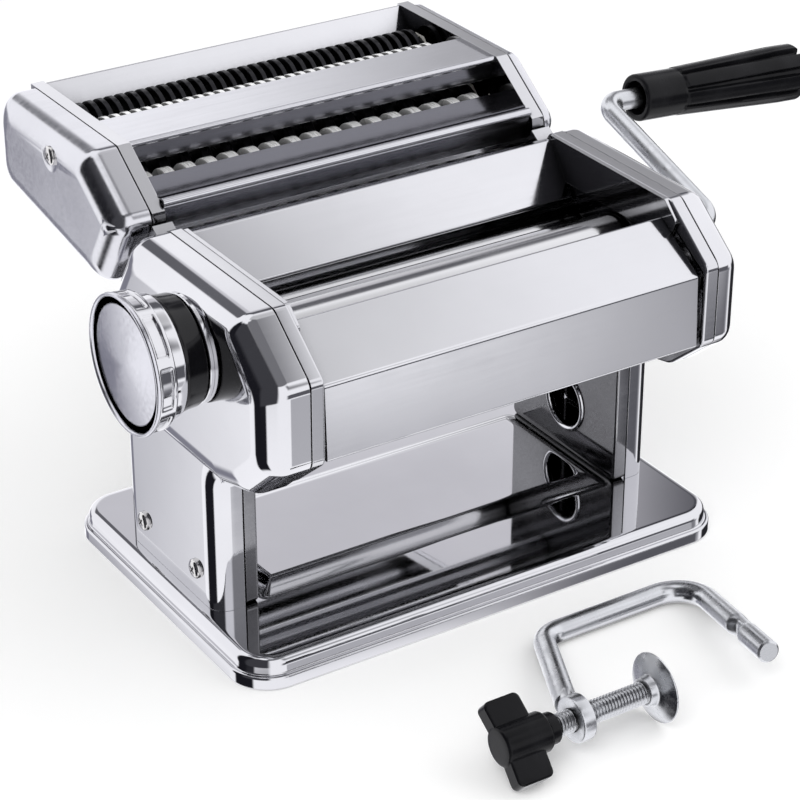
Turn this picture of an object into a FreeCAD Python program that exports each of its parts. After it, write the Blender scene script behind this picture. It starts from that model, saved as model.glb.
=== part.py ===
import FreeCAD, Part
import math
import os
from FreeCAD import Vector

# Hand cranked pasta machine, millimetres, Z up, origin on the bench under the middle of the base.
# Side sketches give (y, z) from the front foot of the legs: y to the rear, z up from the tray floor.

# Driving dimensions of the body
LEG_FRONT_Y = -31.0
FLOOR_Z = 11.3
SHEET = 1.0
PLATE_SHEET = 1.5
PLATE_IN = 76.6
PLATE_OUT = 81.6
COVER_IN = 82.1
LEFT_COVER_OUT = 98.5
LEFT_LEG_OUT = 93.5
RIGHT_COVER_OUT = 92.5
COVER_EDGE = 7.0
SKIN_HALF = 75.2
FEED_HALF = 75.4
RUN_FIT = 0.05

# Driving dimensions of the rolling pair
ROLLER_R = 14.0
ROLLER_HALF = 76.0
CLOSED_GAP = 0.24
GAP_TRAVEL = 2.8
GAP_TURN = 240.0
PAIR_TILT = -18.0
DRIVE_AXIS = (4.6, 94.8)
DRIVE_JOURNAL_R = 6.0
JOURNAL_SIDES = 12
KNOB_AXIS = (4.6, 103.4)
GEAR_IN = 82.5
GEAR_OUT = 90.5

# Driving dimensions of the crank and its sockets
ROD_R = 4.0
SOCKET_R = 4.05
SOCKET_FLAT = 3.4
SOCKET_MOUTH = 5.0
CRANK_PLANE = 121.8
CRANK_REACH = 73.5
CRANK_LIFT = 18.0
GRIP_DROOP = 4.0
GRIP_FACE = 137.0

# Driving dimensions of the cutter head
DISC_R = 9.5
CORE_R = 5.5
WIDE_PITCH = 8.6
WIDE_DISCS = 17
FINE_PITCH = 4.3
FINE_DISCS = 34
WIDE_FRONT = (83.6, 120.2)
WIDE_REAR = (100.1, 120.2)
FINE_FRONT = (118.0, 128.8)
FINE_REAR = (134.5, 128.8)
DISC_PLAY = 0.1
LEFT_CUTTER_OUT = 96.6
RIGHT_CUTTER_OUT = 87.2

# Side profiles as (y, z, corner radius)
BODY_PROFILE = [(47.5, 125.2, 0), (-24.1, 125.2, 0), (-46.7, 107.6, 0), (-46.6, 77.7, 0),
                (-29, 63, 9), (0, 57, 9), (0, 0, 0), (66, 0, 0), (66, 96, 0)]
HEAD_PROFILE = [(47.5, 125.2, 0), (-24.1, 125.2, 0), (-46.7, 107.6, 0), (-46.6, 77.7, 0),
                (-29, 62, 9), (-12, 57.5, 9), (66, 57.5, 0), (66, 96, 0)]
CUTTER_PROFILE = [(150.8, 143.4, 0), (82.4, 143.3, 0), (58.4, 126.7, 0), (57.6, 121.45, 0),
                  (73.6, 96.1, 5), (150.8, 108.5, 8)]

SLANT = Vector(0, -0.535, 0.845)
SLANT_OUT = Vector(0, 0.845, 0.535)


def spot(x, y, z):
    """Point of the model from a side sketch position."""
    return Vector(x, LEG_FRONT_Y + y, FLOOR_Z + z)


def unit(a, b):
    """Unit vector in the sketch from a to b."""
    length = math.hypot(b[0] - a[0], b[1] - a[1])
    return ((b[0] - a[0]) / length, (b[1] - a[1]) / length)


def outline(corners, x):
    """Closed wire at x through (y, z, radius) corners, each rounded by its radius."""
    edges = []
    spans = []
    count = len(corners)
    for i in range(count):
        here = corners[i]
        before = unit(here, corners[i - 1])
        after = unit(here, corners[(i + 1) % count])
        radius = here[2] if len(here) > 2 else 0
        if radius == 0:
            spans.append((here, None, here))
            continue
        half = 0.5 * math.acos(before[0] * after[0] + before[1] * after[1])
        reach = radius / math.tan(half)
        bisector = (before[0] + after[0], before[1] + after[1])
        size = math.hypot(*bisector)
        depth = radius / math.sin(half) - radius
        middle = (here[0] + bisector[0] / size * depth, here[1] + bisector[1] / size * depth)
        start = (here[0] + before[0] * reach, here[1] + before[1] * reach)
        end = (here[0] + after[0] * reach, here[1] + after[1] * reach)
        spans.append((start, middle, end))
    for i in range(count):
        start, middle, end = spans[i]
        if middle is not None:
            arc = Part.Arc(spot(x, *start[:2]), spot(x, *middle), spot(x, *end[:2]))
            edges.append(arc.toShape())
        following = spans[(i + 1) % count][0]
        edges.append(Part.makeLine(spot(x, *end[:2]), spot(x, *following[:2])))
    return Part.Wire(edges)


def prism(corners, x0, x1, inset=0.0):
    """Side outline pushed from x0 to x1, drawn in by the inset."""
    wire = outline(corners, x0)
    if inset:
        wire = wire.makeOffset2D(-inset, 2)
    return Part.Face(wire).extrude(Vector(x1 - x0, 0, 0))


def rod(y, z, radius, x0, x1):
    """Round bar across the machine at a side sketch position."""
    return Part.makeCylinder(radius, x1 - x0, spot(x0, y, z), Vector(1, 0, 0))


def post(y, z, radius, x0, x1, sides=12):
    """Small bar across the machine with a many-sided section inside the radius."""
    return prism([polar((y, z), radius, 360 * (i + 0.5) / sides) for i in range(sides)], x0, x1)


def hole(y, z, radius, x0, x1, sides=12):
    """Many-sided hole cutter that clears the radius, with its flats over the corners of a post."""
    reach = radius / math.cos(math.pi / sides)
    return prism([polar((y, z), reach, 360 * i / sides) for i in range(sides)], x0, x1)


def sleeve(y, z, outer, inner, x0, x1, sides=16):
    """Sleeve across the machine that a journal of the inner radius runs in."""
    return post(y, z, outer, x0, x1, sides).cut(hole(y, z, inner, x0 - 1, x1 + 1, sides))


def bar(x0, x1, y0, y1, z0, z1):
    """Square block between side sketch positions."""
    return Part.makeBox(x1 - x0, y1 - y0, z1 - z0, spot(x0, y0, z0))


def mirror(shape):
    """Same piece on the left of the machine."""
    return shape.mirror(Vector(0, 0, 0), Vector(1, 0, 0))


def turned(shape, degrees, centre, axis):
    """Copy of a shape turned about an axis through the centre."""
    copy = shape.copy()
    copy.rotate(centre, axis, degrees)
    return copy


def joined(shapes):
    """One solid from touching pieces."""
    whole = shapes[0]
    if len(shapes) > 1:
        whole = whole.multiFuse(shapes[1:])
    return whole.removeSplitter()


def save(name, shape):
    """Write one piece of the machine."""
    shape.exportStep(os.path.join("parts", name + ".step"))


def polar(centre, radius, degrees):
    """Sketch position at a radius and an angle from +y towards +z."""
    angle = math.radians(degrees)
    return (centre[0] + radius * math.cos(angle), centre[1] + radius * math.sin(angle))


REAR_AXIS = polar(DRIVE_AXIS, 2 * ROLLER_R + CLOSED_GAP, PAIR_TILT)


def from_rear(along, across):
    """Sketch position beside the rear roller, along and across the line of the pair."""
    foot = polar(REAR_AXIS, along, PAIR_TILT)
    return polar(foot, across, PAIR_TILT + 90)


TIE_RODS = [(-32.0, 76.5), (50.0, 103.0), (44.0, 50.0)]
CARRIER_BARS = [from_rear(19.5, 6.0), from_rear(2.0, -21.0)]


# Base tray: pressed sheet with a stepped rim and a raised field between the legs
TRAY_FRONT = -36.9
TRAY_REAR = 98.9
TRAY_HALF = 101.0
TRAY_STEP = 1.7
TRAY_CORNER = 15.0
LIP_Z = -10.5
STEP_Z = -6.2
FIELD_HALF = 74.5
FIELD_HEIGHT = 3.6


def tray_block(inset, z0, z1, edge):
    """Rounded block of the tray's plan, with its top edge sloped."""
    half = TRAY_HALF - inset
    depth = TRAY_REAR - TRAY_FRONT - 2 * inset
    block = Part.makeBox(2 * half, depth, z1 - z0, spot(-half, TRAY_FRONT + inset, z0))
    corners = [e for e in block.Edges if abs(e.tangentAt(e.FirstParameter).z) > 0.9]
    block = block.makeFillet(TRAY_CORNER - inset, corners)
    return sloped_top(block, z1, edge)


def tray_hollow(inset, z0, z1, edge):
    """Block of the tray's inside, its corners drawn with short straight runs."""
    radius = (TRAY_CORNER - inset) / math.cos(math.pi / 16)
    ring = []
    for sign_x, sign_y, start in ((1, 1, 0), (-1, 1, 90), (-1, -1, 180), (1, -1, 270)):
        middle = (TRAY_REAR if sign_y > 0 else TRAY_FRONT) - sign_y * TRAY_CORNER
        for step in range(4):
            arm = turned_out(radius, start + 22.5 * (step + 0.5))
            ring.append(spot(sign_x * (TRAY_HALF - TRAY_CORNER), middle, z0) + arm)
    block = Part.Face(Part.makePolygon(ring + ring[:1])).extrude(Vector(0, 0, z1 - z0))
    return sloped_top(block, z1, edge)


def sloped_top(block, z1, edge):
    """Block with the rim of its top face sloped."""
    top = FLOOR_Z + z1
    edges = [e for e in block.Edges if all(abs(v.Z - top) < 1e-6 for v in e.Vertexes)]
    return block.makeChamfer(edge, edges)


def field_block(inset, z0, z1):
    """Raised field of the tray floor between the legs."""
    half = FIELD_HALF - inset
    block = Part.makeBox(2 * half, 64 - 2 * inset, z1 - z0, spot(-half, 0.5 + inset, z0))
    sides = [e for e in block.Edges if not all(abs(v.Z - FLOOR_Z - z0) < 1e-6 for v in e.Vertexes)]
    return block.makeChamfer(2.0 - inset * 0.6, sides)


BASE_SCREW_SPOTS = [(sign * 79.0, y) for sign in (-1, 1) for y in (12.0, 54.0)]
FOOT_SPOTS = [(sign * 84.0, y) for sign in (-1, 1) for y in (-20.0, 82.0)]
CLAMP_NOTCH_X = 30.0
CLAMP_NOTCH_R = 4.4


def base_tray():
    skin = joined([tray_block(0, LIP_Z, STEP_Z, 0.8), tray_block(TRAY_STEP, LIP_Z, 0, 2.6),
                   field_block(0, -1, FIELD_HEIGHT)])
    hollow = joined([tray_hollow(SHEET, LIP_Z, STEP_Z - SHEET, 0.3),
                     tray_hollow(TRAY_STEP + SHEET, LIP_Z, -SHEET, 2.2),
                     field_block(SHEET, -SHEET - 1, FIELD_HEIGHT - SHEET)])
    tray = skin.cut(hollow)
    for x, y in BASE_SCREW_SPOTS:
        tray = tray.cut(upright(x, y, -3, 3, 2.5, 6))
    notch = Part.makeCylinder(CLAMP_NOTCH_R, 8, spot(CLAMP_NOTCH_X, TRAY_REAR - 6, -6.5), Vector(0, 1, 0))
    mouth = bar(CLAMP_NOTCH_X - CLAMP_NOTCH_R, CLAMP_NOTCH_X + CLAMP_NOTCH_R,
                TRAY_REAR - 6, TRAY_REAR + 2, -12, -6.5)
    return tray.cut(notch).cut(mouth)


def upright(x, y, z0, z1, radius, sides):
    """Many-sided upright post."""
    ring = [spot(x, y, z0) + turned_out(radius, 360 * i / sides) for i in range(sides)]
    return Part.Face(Part.makePolygon(ring + [ring[0]])).extrude(Vector(0, 0, z1 - z0))


def turned_out(radius, degrees):
    """Level vector of a length and direction."""
    angle = math.radians(degrees)
    return Vector(radius * math.cos(angle), radius * math.sin(angle), 0)


def base_screws():
    screws = []
    for x, y in BASE_SCREW_SPOTS:
        head = upright(x, y, -SHEET - 2.2, -SHEET, 3.8, 6)
        screws.append(joined([head, upright(x, y, -SHEET, PLATE_SHEET, 2.0, 6)]))
    return Part.Compound(screws)


def rubber_feet():
    feet = []
    for x, y in FOOT_SPOTS:
        feet.append(upright(x, y, -FLOOR_Z, -SHEET, 7.0, 12))
    return Part.Compound(feet)


# Pressed side shells and plates
def edged_prism(corners, x0, x1, radius, inset=0.0):
    """Outline pushed from x0 to x1 with the edges at x1 rounded."""
    block = prism(corners, x0, x1, inset)
    edges = [e for e in block.Edges if all(abs(v.X - x1) < 1e-6 for v in e.Vertexes)]
    return block.makeFillet(radius, edges)


def pressed_pan(corners, depth_x, wall, radius, start_x):
    """Outer and inner forms of a sheet pan that is open towards the middle of the machine."""
    outer = edged_prism(corners, start_x, depth_x, radius)
    inner = prism(corners, start_x, depth_x - wall, wall)
    rim = [e for e in inner.Edges if all(abs(v.X - depth_x + wall) < 1e-6 for v in e.Vertexes)]
    return outer, inner.makeChamfer(0.7 * (radius - wall), rim)


def side_plate(corners):
    """Bearing plate with its rim folded outwards."""
    solid = prism(corners, PLATE_IN, PLATE_OUT)
    return solid.cut(prism(corners, PLATE_IN + PLATE_SHEET, PLATE_OUT + 1, PLATE_SHEET))


GUARD = [(45.5, 125.2), (-23, 125.2), (-30, 119), (-26, 110.3), (44, 110.3), (51.5, 113.2), (46.6, 121)]
GUARD_IN = 75.4
LEG_HOLE = (32.0, 20.5)
LEG_HOLE_R = 10.0


def travel_slot(centre, radius, x0, x1, sides=12):
    """Slot that lets a moving shaft follow the opening of the gap."""
    end = polar(centre, GAP_TRAVEL + 0.1, PAIR_TILT)
    reach = radius / math.cos(math.pi / sides)
    turns = [PAIR_TILT - 90 + 360 * (i + 0.5) / sides for i in range(sides)]
    corners = [polar(end if i < sides / 2 else centre, reach, turn) for i, turn in enumerate(turns)]
    return prism(corners, x0, x1)


def frame_plate():
    """Right bearing plate: hopper guard, leg hole with a rolled rim, seats and slots."""
    plate = side_plate(BODY_PROFILE)
    guard = prism(GUARD, GUARD_IN, PLATE_IN + 0.5)
    rim = post(*LEG_HOLE, LEG_HOLE_R + 1.8, PLATE_IN - 1.0, PLATE_IN + 0.5, 20)
    plate = joined([plate, guard, rim])
    cuts = [post(*LEG_HOLE, LEG_HOLE_R, PLATE_IN - 2, PLATE_OUT, 20),
            post(*DRIVE_AXIS, 8.0, PLATE_IN - 2, PLATE_IN + PLATE_SHEET + 1, JOURNAL_SIDES),
            travel_slot(REAR_AXIS, DRIVE_JOURNAL_R + 0.2, PLATE_IN - 2, PLATE_IN + PLATE_SHEET + 1)]
    cuts += [travel_slot(centre, 3.1, PLATE_IN - 2, PLATE_IN + PLATE_SHEET + 1, 8)
             for centre in CARRIER_BARS]
    cuts += [upright(79.0, y, -1, 3, 2.0, 6) for y in (12.0, 54.0)]
    for cutter in cuts:
        plate = plate.cut(cutter)
    return plate


def left_cover():
    """Deep pressed shell over the gears, with the leg a step further in."""
    leg_outer, leg_inner = pressed_pan(BODY_PROFILE, LEFT_LEG_OUT, SHEET, COVER_EDGE, COVER_IN)
    head_outer, head_inner = pressed_pan(HEAD_PROFILE, LEFT_COVER_OUT, SHEET, COVER_EDGE, COVER_IN)
    shell = joined([leg_outer, head_outer]).cut(joined([leg_inner, head_inner]))
    shell = shell.cut(post(*KNOB_AXIS, 9.0, LEFT_COVER_OUT - 3, LEFT_COVER_OUT + 1, JOURNAL_SIDES))
    for y, z in BODY_COVER_SCREWS:
        shell = shell.cut(post(y, z, 2.5, LEFT_LEG_OUT - 3, LEFT_LEG_OUT + 1, 6))
    return mirror(shell)


BODY_COVER_SCREWS = [(14.0, 12.0), (52.0, 12.0)]
SOCKET_HOLE_R = 9.0


def right_cover():
    """Pressed shell on the crank side, head and leg in one plane."""
    outer, inner = pressed_pan(BODY_PROFILE, RIGHT_COVER_OUT, SHEET, COVER_EDGE, COVER_IN)
    shell = outer.cut(inner)
    shell = shell.cut(post(*DRIVE_AXIS, SOCKET_HOLE_R, RIGHT_COVER_OUT - 3, RIGHT_COVER_OUT + 1, 16))
    for y, z in BODY_COVER_SCREWS:
        shell = shell.cut(post(y, z, 2.5, RIGHT_COVER_OUT - 3, RIGHT_COVER_OUT + 1, 6))
    return shell


def pan_screw(y, z, face_x, depth):
    """Pan head screw through a cover into the plate behind it."""
    head = post(y, z, 3.6, face_x, face_x + 1.8, 8)
    head = head.makeChamfer(0.7, [e for e in head.Edges if e.BoundBox.XMin > face_x + 1])
    return joined([head, post(y, z, 2.0, face_x - depth, face_x, 6)])


def cover_screws():
    screws = []
    for y, z in BODY_COVER_SCREWS:
        screws.append(mirror(pan_screw(y, z, LEFT_LEG_OUT, LEFT_LEG_OUT - PLATE_IN - PLATE_SHEET)))
        screws.append(pan_screw(y, z, RIGHT_COVER_OUT, RIGHT_COVER_OUT - PLATE_IN - PLATE_SHEET))
    return Part.Compound(screws)


def socket_collar():
    """Flanged ring that lines the crank hole of the right cover."""
    collar = joined([post(*DRIVE_AXIS, SOCKET_HOLE_R, RIGHT_COVER_OUT - 3, RIGHT_COVER_OUT, 16),
                     post(*DRIVE_AXIS, 11.5, RIGHT_COVER_OUT, RIGHT_COVER_OUT + 1.4, 24)])
    bore = hole(*DRIVE_AXIS, DRIVE_JOURNAL_R + 0.4, RIGHT_COVER_OUT - 4, RIGHT_COVER_OUT + 2, JOURNAL_SIDES)
    return collar.cut(bore)


# Sheet skins of the body
HOOD = [(-22.6, 117.6), (-43.9, 104.2), (-45.2, 78.0)]
HOOD_BEAD_R = 1.3


def folded_sheet(path, thickness, x_half, side=1):
    """Sheet bent along a sketch path, square to the side plates."""
    near = []
    far = []
    count = len(path)
    for i in range(count):
        before = unit(path[max(i - 1, 0)], path[i]) if i else unit(path[0], path[1])
        after = unit(path[i], path[i + 1]) if i < count - 1 else before
        normal = (-(before[1] + after[1]), before[0] + after[0])
        size = math.hypot(*normal)
        normal = (side * normal[0] / size, side * normal[1] / size)
        cosine = math.sqrt(max(0.05, (1 + before[0] * after[0] + before[1] * after[1]) / 2))
        near.append(path[i])
        far.append((path[i][0] + normal[0] * thickness / cosine,
                    path[i][1] + normal[1] * thickness / cosine))
    return prism(near + far[::-1], -x_half, x_half)


def skin_ears(positions, width_y, height_z):
    """Small ears that reach from a skin to both side plates."""
    ears = []
    for y, z in positions:
        ears.append(bar(-PLATE_IN, -SKIN_HALF + 1, y, y + width_y, z, z + height_z))
        ears.append(bar(SKIN_HALF - 1, PLATE_IN, y, y + width_y, z, z + height_z))
    return ears


def front_hood():
    """Bright front skin: folded bead on top, one bend, a hem at the bottom."""
    sheet = folded_sheet(HOOD, SHEET, SKIN_HALF)
    bead = post(HOOD[0][0] + 0.7, HOOD[0][1] - 0.3, HOOD_BEAD_R, -SKIN_HALF, SKIN_HALF, 10)
    hem = folded_sheet([(-44.2, 82.0), (-44.35, 78.0)], SHEET, SKIN_HALF)
    return joined([sheet, bead, hem] + skin_ears([(-44.0, 84.0), (-43.0, 98.0)], 1.5, 5.0))


def feed_plate():
    """Sloped plate that leads the dough to the rolls, with a folded top and a bottom bead."""
    sheet = folded_sheet([(48.0, 121.6), (44.9, 122.4), (32.4, 105.6)], SHEET, FEED_HALF, -1)
    bead = post(33.1, 105.4, 1.5, -FEED_HALF, FEED_HALF, 10)
    return joined([sheet, bead])


def rear_apron():
    """Skin along the rear slant, under the cutter head, and down the back of the rolls."""
    path = [(48.6, 120.6), (63.6, 95.6), (63.6, 71.0), (60.6, 69.5)]
    return folded_sheet(path, SHEET, PLATE_IN, -1)


def front_scraper():
    """Thin strip that wipes the drive roller."""
    tip = polar(DRIVE_AXIS, ROLLER_R + 0.25, 215)
    return folded_sheet([(-26.0, 71.0), (-19.0, 71.0), tip], SHEET, PLATE_IN)


def rear_scraper():
    """Thin strip on the carrier bar that wipes the rear roller."""
    tip = polar(REAR_AXIS, ROLLER_R + 0.25, -50)
    root = (CARRIER_BARS[1][0] + 1.6, CARRIER_BARS[1][1] - 0.6)
    strip = folded_sheet([root, tip], SHEET, SKIN_HALF - 0.6, -1)
    return strip.cut(post(*CARRIER_BARS[1], 3.0, -PLATE_IN, PLATE_IN))


def tie_rods():
    return Part.Compound([post(y, z, 4.0, -PLATE_IN, PLATE_IN) for y, z in TIE_RODS])


def tie_nuts():
    """Closed nuts outside the plates at the ends of the tie rods."""
    start = PLATE_IN + PLATE_SHEET
    nuts = [post(y, z, 5.8, start, start + 3.0, 6) for y, z in TIE_RODS]
    return Part.Compound(nuts + [mirror(nut) for nut in nuts])


def roller_bushes():
    bush = sleeve(*DRIVE_AXIS, 8.0, DRIVE_JOURNAL_R + RUN_FIT, PLATE_IN, PLATE_IN + 2.4, JOURNAL_SIDES)
    return Part.Compound([bush, mirror(bush)])


# Rolls, gears and the gap setting
def stacked(profile, sides, centre=Vector(0, 0, 0)):
    """Many-sided solid of revolution about X from (x, radius) points, flat at both ends."""
    rings = [[centre + Vector(x, *polar((0, 0), radius, 360 * (i + 0.5) / sides)) for i in range(sides)]
             for x, radius in profile]
    faces = [Part.Face(Part.makePolygon(ring + ring[:1])) for ring in (rings[0], rings[-1])]
    for near, far in zip(rings, rings[1:]):
        for i in range(sides):
            j = (i + 1) % sides
            faces.append(Part.Face(Part.makePolygon([near[i], near[j], far[j], far[i], near[i]])))
    return Part.Solid(Part.Shell(faces))


def gear(centre, pitch_r, teeth, addendum, x0, x1, first_angle):
    """Spur gear with involute flanks and long teeth; first_angle points at a tooth."""
    base = pitch_r * math.cos(math.radians(20))
    root = pitch_r - addendum - 0.35
    radii = [root, pitch_r + addendum]

    def half_angle(radius):
        flank = math.tan(math.acos(base / radius)) - math.acos(base / radius) if radius > base else 0
        start = math.tan(math.radians(20)) - math.radians(20)
        return math.pi / (2 * teeth) + start - flank - 0.012

    halves = [half_angle(max(radius, base)) for radius in radii]
    points = []
    for i in range(teeth):
        middle = math.radians(first_angle) + 2 * math.pi * i / teeth
        for radius, half in zip(radii, halves):
            points.append(polar(centre, radius, math.degrees(middle - half)))
        for radius, half in zip(radii[::-1], halves[::-1]):
            points.append(polar(centre, radius, math.degrees(middle + half)))
    return prism(points, x0, x1)


def socket_bore(centre, mouth_x, depth):
    """Hole that takes the end of the crank: a round mouth, then a slightly wider D shape."""
    mouth = rod(*centre, SOCKET_R, mouth_x - SOCKET_MOUTH, mouth_x + 1)
    grip = post(*centre, SOCKET_R + 0.15, mouth_x - depth, mouth_x - SOCKET_MOUTH, 12)
    flat = bar(mouth_x - depth - 1, mouth_x - SOCKET_MOUTH, centre[0] - 10, centre[0] + 10,
               centre[1] + SOCKET_FLAT, centre[1] + 10)
    return mouth.fuse(grip.cut(flat))


DRIVE_END = RIGHT_COVER_OUT - 0.4


def drive_roller():
    body = [rod(*DRIVE_AXIS, ROLLER_R, -ROLLER_HALF, ROLLER_HALF),
            post(*DRIVE_AXIS, DRIVE_JOURNAL_R, -GEAR_IN, 0, JOURNAL_SIDES),
            post(*DRIVE_AXIS, DRIVE_JOURNAL_R, 0, DRIVE_END, JOURNAL_SIDES)]
    return joined(body).cut(socket_bore(DRIVE_AXIS, DRIVE_END, 14.0))


def rear_roller():
    return joined([rod(*REAR_AXIS, ROLLER_R, -ROLLER_HALF, ROLLER_HALF),
                   post(*REAR_AXIS, DRIVE_JOURNAL_R, -GEAR_IN, PLATE_OUT, JOURNAL_SIDES)])


def roller_gears():
    pitch_r = ROLLER_R + CLOSED_GAP / 2
    drive = gear(DRIVE_AXIS, pitch_r, 12, 2.3, -GEAR_OUT, -GEAR_IN, PAIR_TILT)
    rear = gear(REAR_AXIS, pitch_r, 12, 2.3, -GEAR_OUT, -GEAR_IN, PAIR_TILT + 180 + 15)
    return drive, rear


CARRIER_IN = PLATE_IN + PLATE_SHEET + 0.3
CARRIER_OUT = CARRIER_IN + 2.4
CAM_IN = GEAR_OUT + 0.9
CAM_OUT = CAM_IN + 3.8
CAM_START_R = 8.0
EAR = (-3.1, 24.2)


def carrier():
    """Right bearing carrier of the rear roller, with an ear on top."""
    sketch = [(-12.5, 9, 0), (-7.5, 15, 0), (-7.5, 26, 0), (-5, 29, 0), (-1, 29, 0), (1.5, 26, 0),
              (1.5, 13, 0), (20.5, 13, 0), (24, 9, 0), (24, 1, 0), (8, -25.5, 5), (-5, -25.5, 5),
              (-12.5, -9, 0)]
    corners = [(*from_rear(a, b), r) for a, b, r in sketch]
    plate = prism(corners, CARRIER_IN, CARRIER_OUT)
    journal = hole(*REAR_AXIS, DRIVE_JOURNAL_R + RUN_FIT, CARRIER_IN - 1, CARRIER_OUT + 1, JOURNAL_SIDES)
    return plate.cut(journal)


def carrier_left():
    """Left carrier with the arm that the cam of the gap knob pushes."""
    ear = from_rear(*EAR)
    tip = polar(KNOB_AXIS, CAM_START_R + 0.1, PAIR_TILT)
    pillar = post(*ear, 3.5, CARRIER_OUT, CAM_IN, 8)
    lead = unit(tip, ear)
    side = (-lead[1], lead[0])
    corners = [(tip[0] + side[0] * 3.0, tip[1] + side[1] * 3.0),
               (ear[0] + side[0] * 4.5 + lead[0] * 4, ear[1] + side[1] * 4.5 + lead[1] * 4),
               (ear[0] - side[0] * 4.5 + lead[0] * 4, ear[1] - side[1] * 4.5 + lead[1] * 4),
               (tip[0] - side[0] * 3.0, tip[1] - side[1] * 3.0)]
    arm = prism(corners, CAM_IN, CAM_OUT)
    blunt = [polar(tip, 12, PAIR_TILT + 90), polar(tip, 12, PAIR_TILT - 90),
             polar(polar(tip, -12, PAIR_TILT), 12, PAIR_TILT - 90),
             polar(polar(tip, -12, PAIR_TILT), 12, PAIR_TILT + 90)]
    nose = post(*polar(tip, 3.0, PAIR_TILT), 3.0, CAM_IN, CAM_OUT, 12)
    arm = joined([arm, nose]).cut(prism(blunt, CAM_IN - 1, CAM_OUT + 1))
    return mirror(joined([carrier(), pillar, arm]))


def carrier_bars():
    return Part.Compound([post(y, z, 3.0, -CARRIER_IN, CARRIER_IN) for y, z in CARRIER_BARS])


def gap_cam():
    """Spiral cam: its radius grows evenly over the turn of the knob."""
    def rim(turn):
        radius = CAM_START_R + GAP_TRAVEL * min(turn, GAP_TURN) / GAP_TURN
        return spot(CAM_IN, *polar(KNOB_AXIS, radius, PAIR_TILT - turn))

    edges = []
    for i in range(4):
        start = GAP_TURN * i / 3
        sweep = GAP_TURN / 3 if i < 3 else 30.0
        edges.append(Part.Arc(rim(start), rim(start + sweep / 2), rim(start + sweep)).toShape())
    lead_in = spot(CAM_IN, *polar(KNOB_AXIS, CAM_START_R, PAIR_TILT + 25))
    edges += [Part.makeLine(rim(GAP_TURN + 30.0), lead_in), Part.makeLine(lead_in, rim(0))]
    return Part.Face(Part.Wire(edges)).extrude(Vector(CAM_OUT - CAM_IN, 0, 0))


RING_OUT = LEFT_COVER_OUT + 1.5
INDEX_STEPS = 9
INDEX_R = 15.5


def gap_shaft():
    """Knob shaft with its cam, keyed by a flat at the outer end."""
    shaft = post(*KNOB_AXIS, 5.0, CAM_IN, KNOB_BODY_OUT - 0.5, 12)
    return mirror(joined([gap_cam(), shaft]))


def index_ring():
    """Fixed ring on the left cover with one hole per thickness setting, and the shaft bearing."""
    inner = 5.0 + RUN_FIT
    ring = joined([post(*KNOB_AXIS, 19.0, LEFT_COVER_OUT, RING_OUT, 24),
                   post(*KNOB_AXIS, 9.0, CAM_OUT + 0.4, LEFT_COVER_OUT, JOURNAL_SIDES)])
    ring = ring.cut(hole(*KNOB_AXIS, inner, CAM_OUT, RING_OUT + 1))
    for i in range(INDEX_STEPS):
        y, z = polar(KNOB_AXIS, INDEX_R, 90 - GAP_TURN * i / (INDEX_STEPS - 1))
        ring = ring.cut(post(y, z, 1.9, LEFT_COVER_OUT + 0.3, RING_OUT + 1, 4))
    return mirror(ring)


KNOB_BODY_IN = RING_OUT + 0.9
KNOB_BODY_OUT = 109.0
NECK_OUT = 114.2
BAND_OUT = 120.8
KNOB_FACE = 122.0


KNOB_SIDES = 24


def knob_ring(profile):
    """Ring of the knob from (x, radius) points."""
    return stacked(profile, KNOB_SIDES, spot(0, *KNOB_AXIS))


def knob_body():
    """Dark sleeve of the knob, with the pin that drops into the index ring."""
    body = knob_ring([(KNOB_BODY_IN, 19.4), (KNOB_BODY_OUT, 20.2)])
    body = body.cut(post(*KNOB_AXIS, 5.1, KNOB_BODY_IN - 1, KNOB_BODY_OUT + 1))
    pin = post(*polar(KNOB_AXIS, INDEX_R, 90), 1.4, RING_OUT + 0.2, KNOB_BODY_IN + 1, 6)
    return mirror(joined([body, pin]))


def knob_neck():
    """Bright ring between the sleeve and the grip band."""
    return mirror(knob_ring([(KNOB_BODY_OUT, 20.6), (110.2, 21.5), (NECK_OUT, 21.5)]))


FLUTES = 8


def knob_band():
    """Grip band with long shallow flutes round its side."""
    band = knob_ring([(NECK_OUT, 23.6), (BAND_OUT, 24.1)])
    for i in range(FLUTES):
        flute = bar(116.0, 119.8, KNOB_AXIS[0] - 7.6, KNOB_AXIS[0] + 7.6,
                    KNOB_AXIS[1] + 22.7, KNOB_AXIS[1] + 26)
        band = band.cut(turned(flute, 360 / FLUTES * (i + 0.5), spot(0, *KNOB_AXIS), Vector(1, 0, 0)))
    return mirror(band)


def knob_cap():
    """Bright dished face with a raised rim."""
    return mirror(knob_ring([(BAND_OUT, 24.3), (KNOB_FACE, 24.0), (KNOB_FACE, 22.4),
                             (KNOB_FACE - 0.8, 21.8)]))


# Crank
ROD_SIDES = 10


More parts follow.
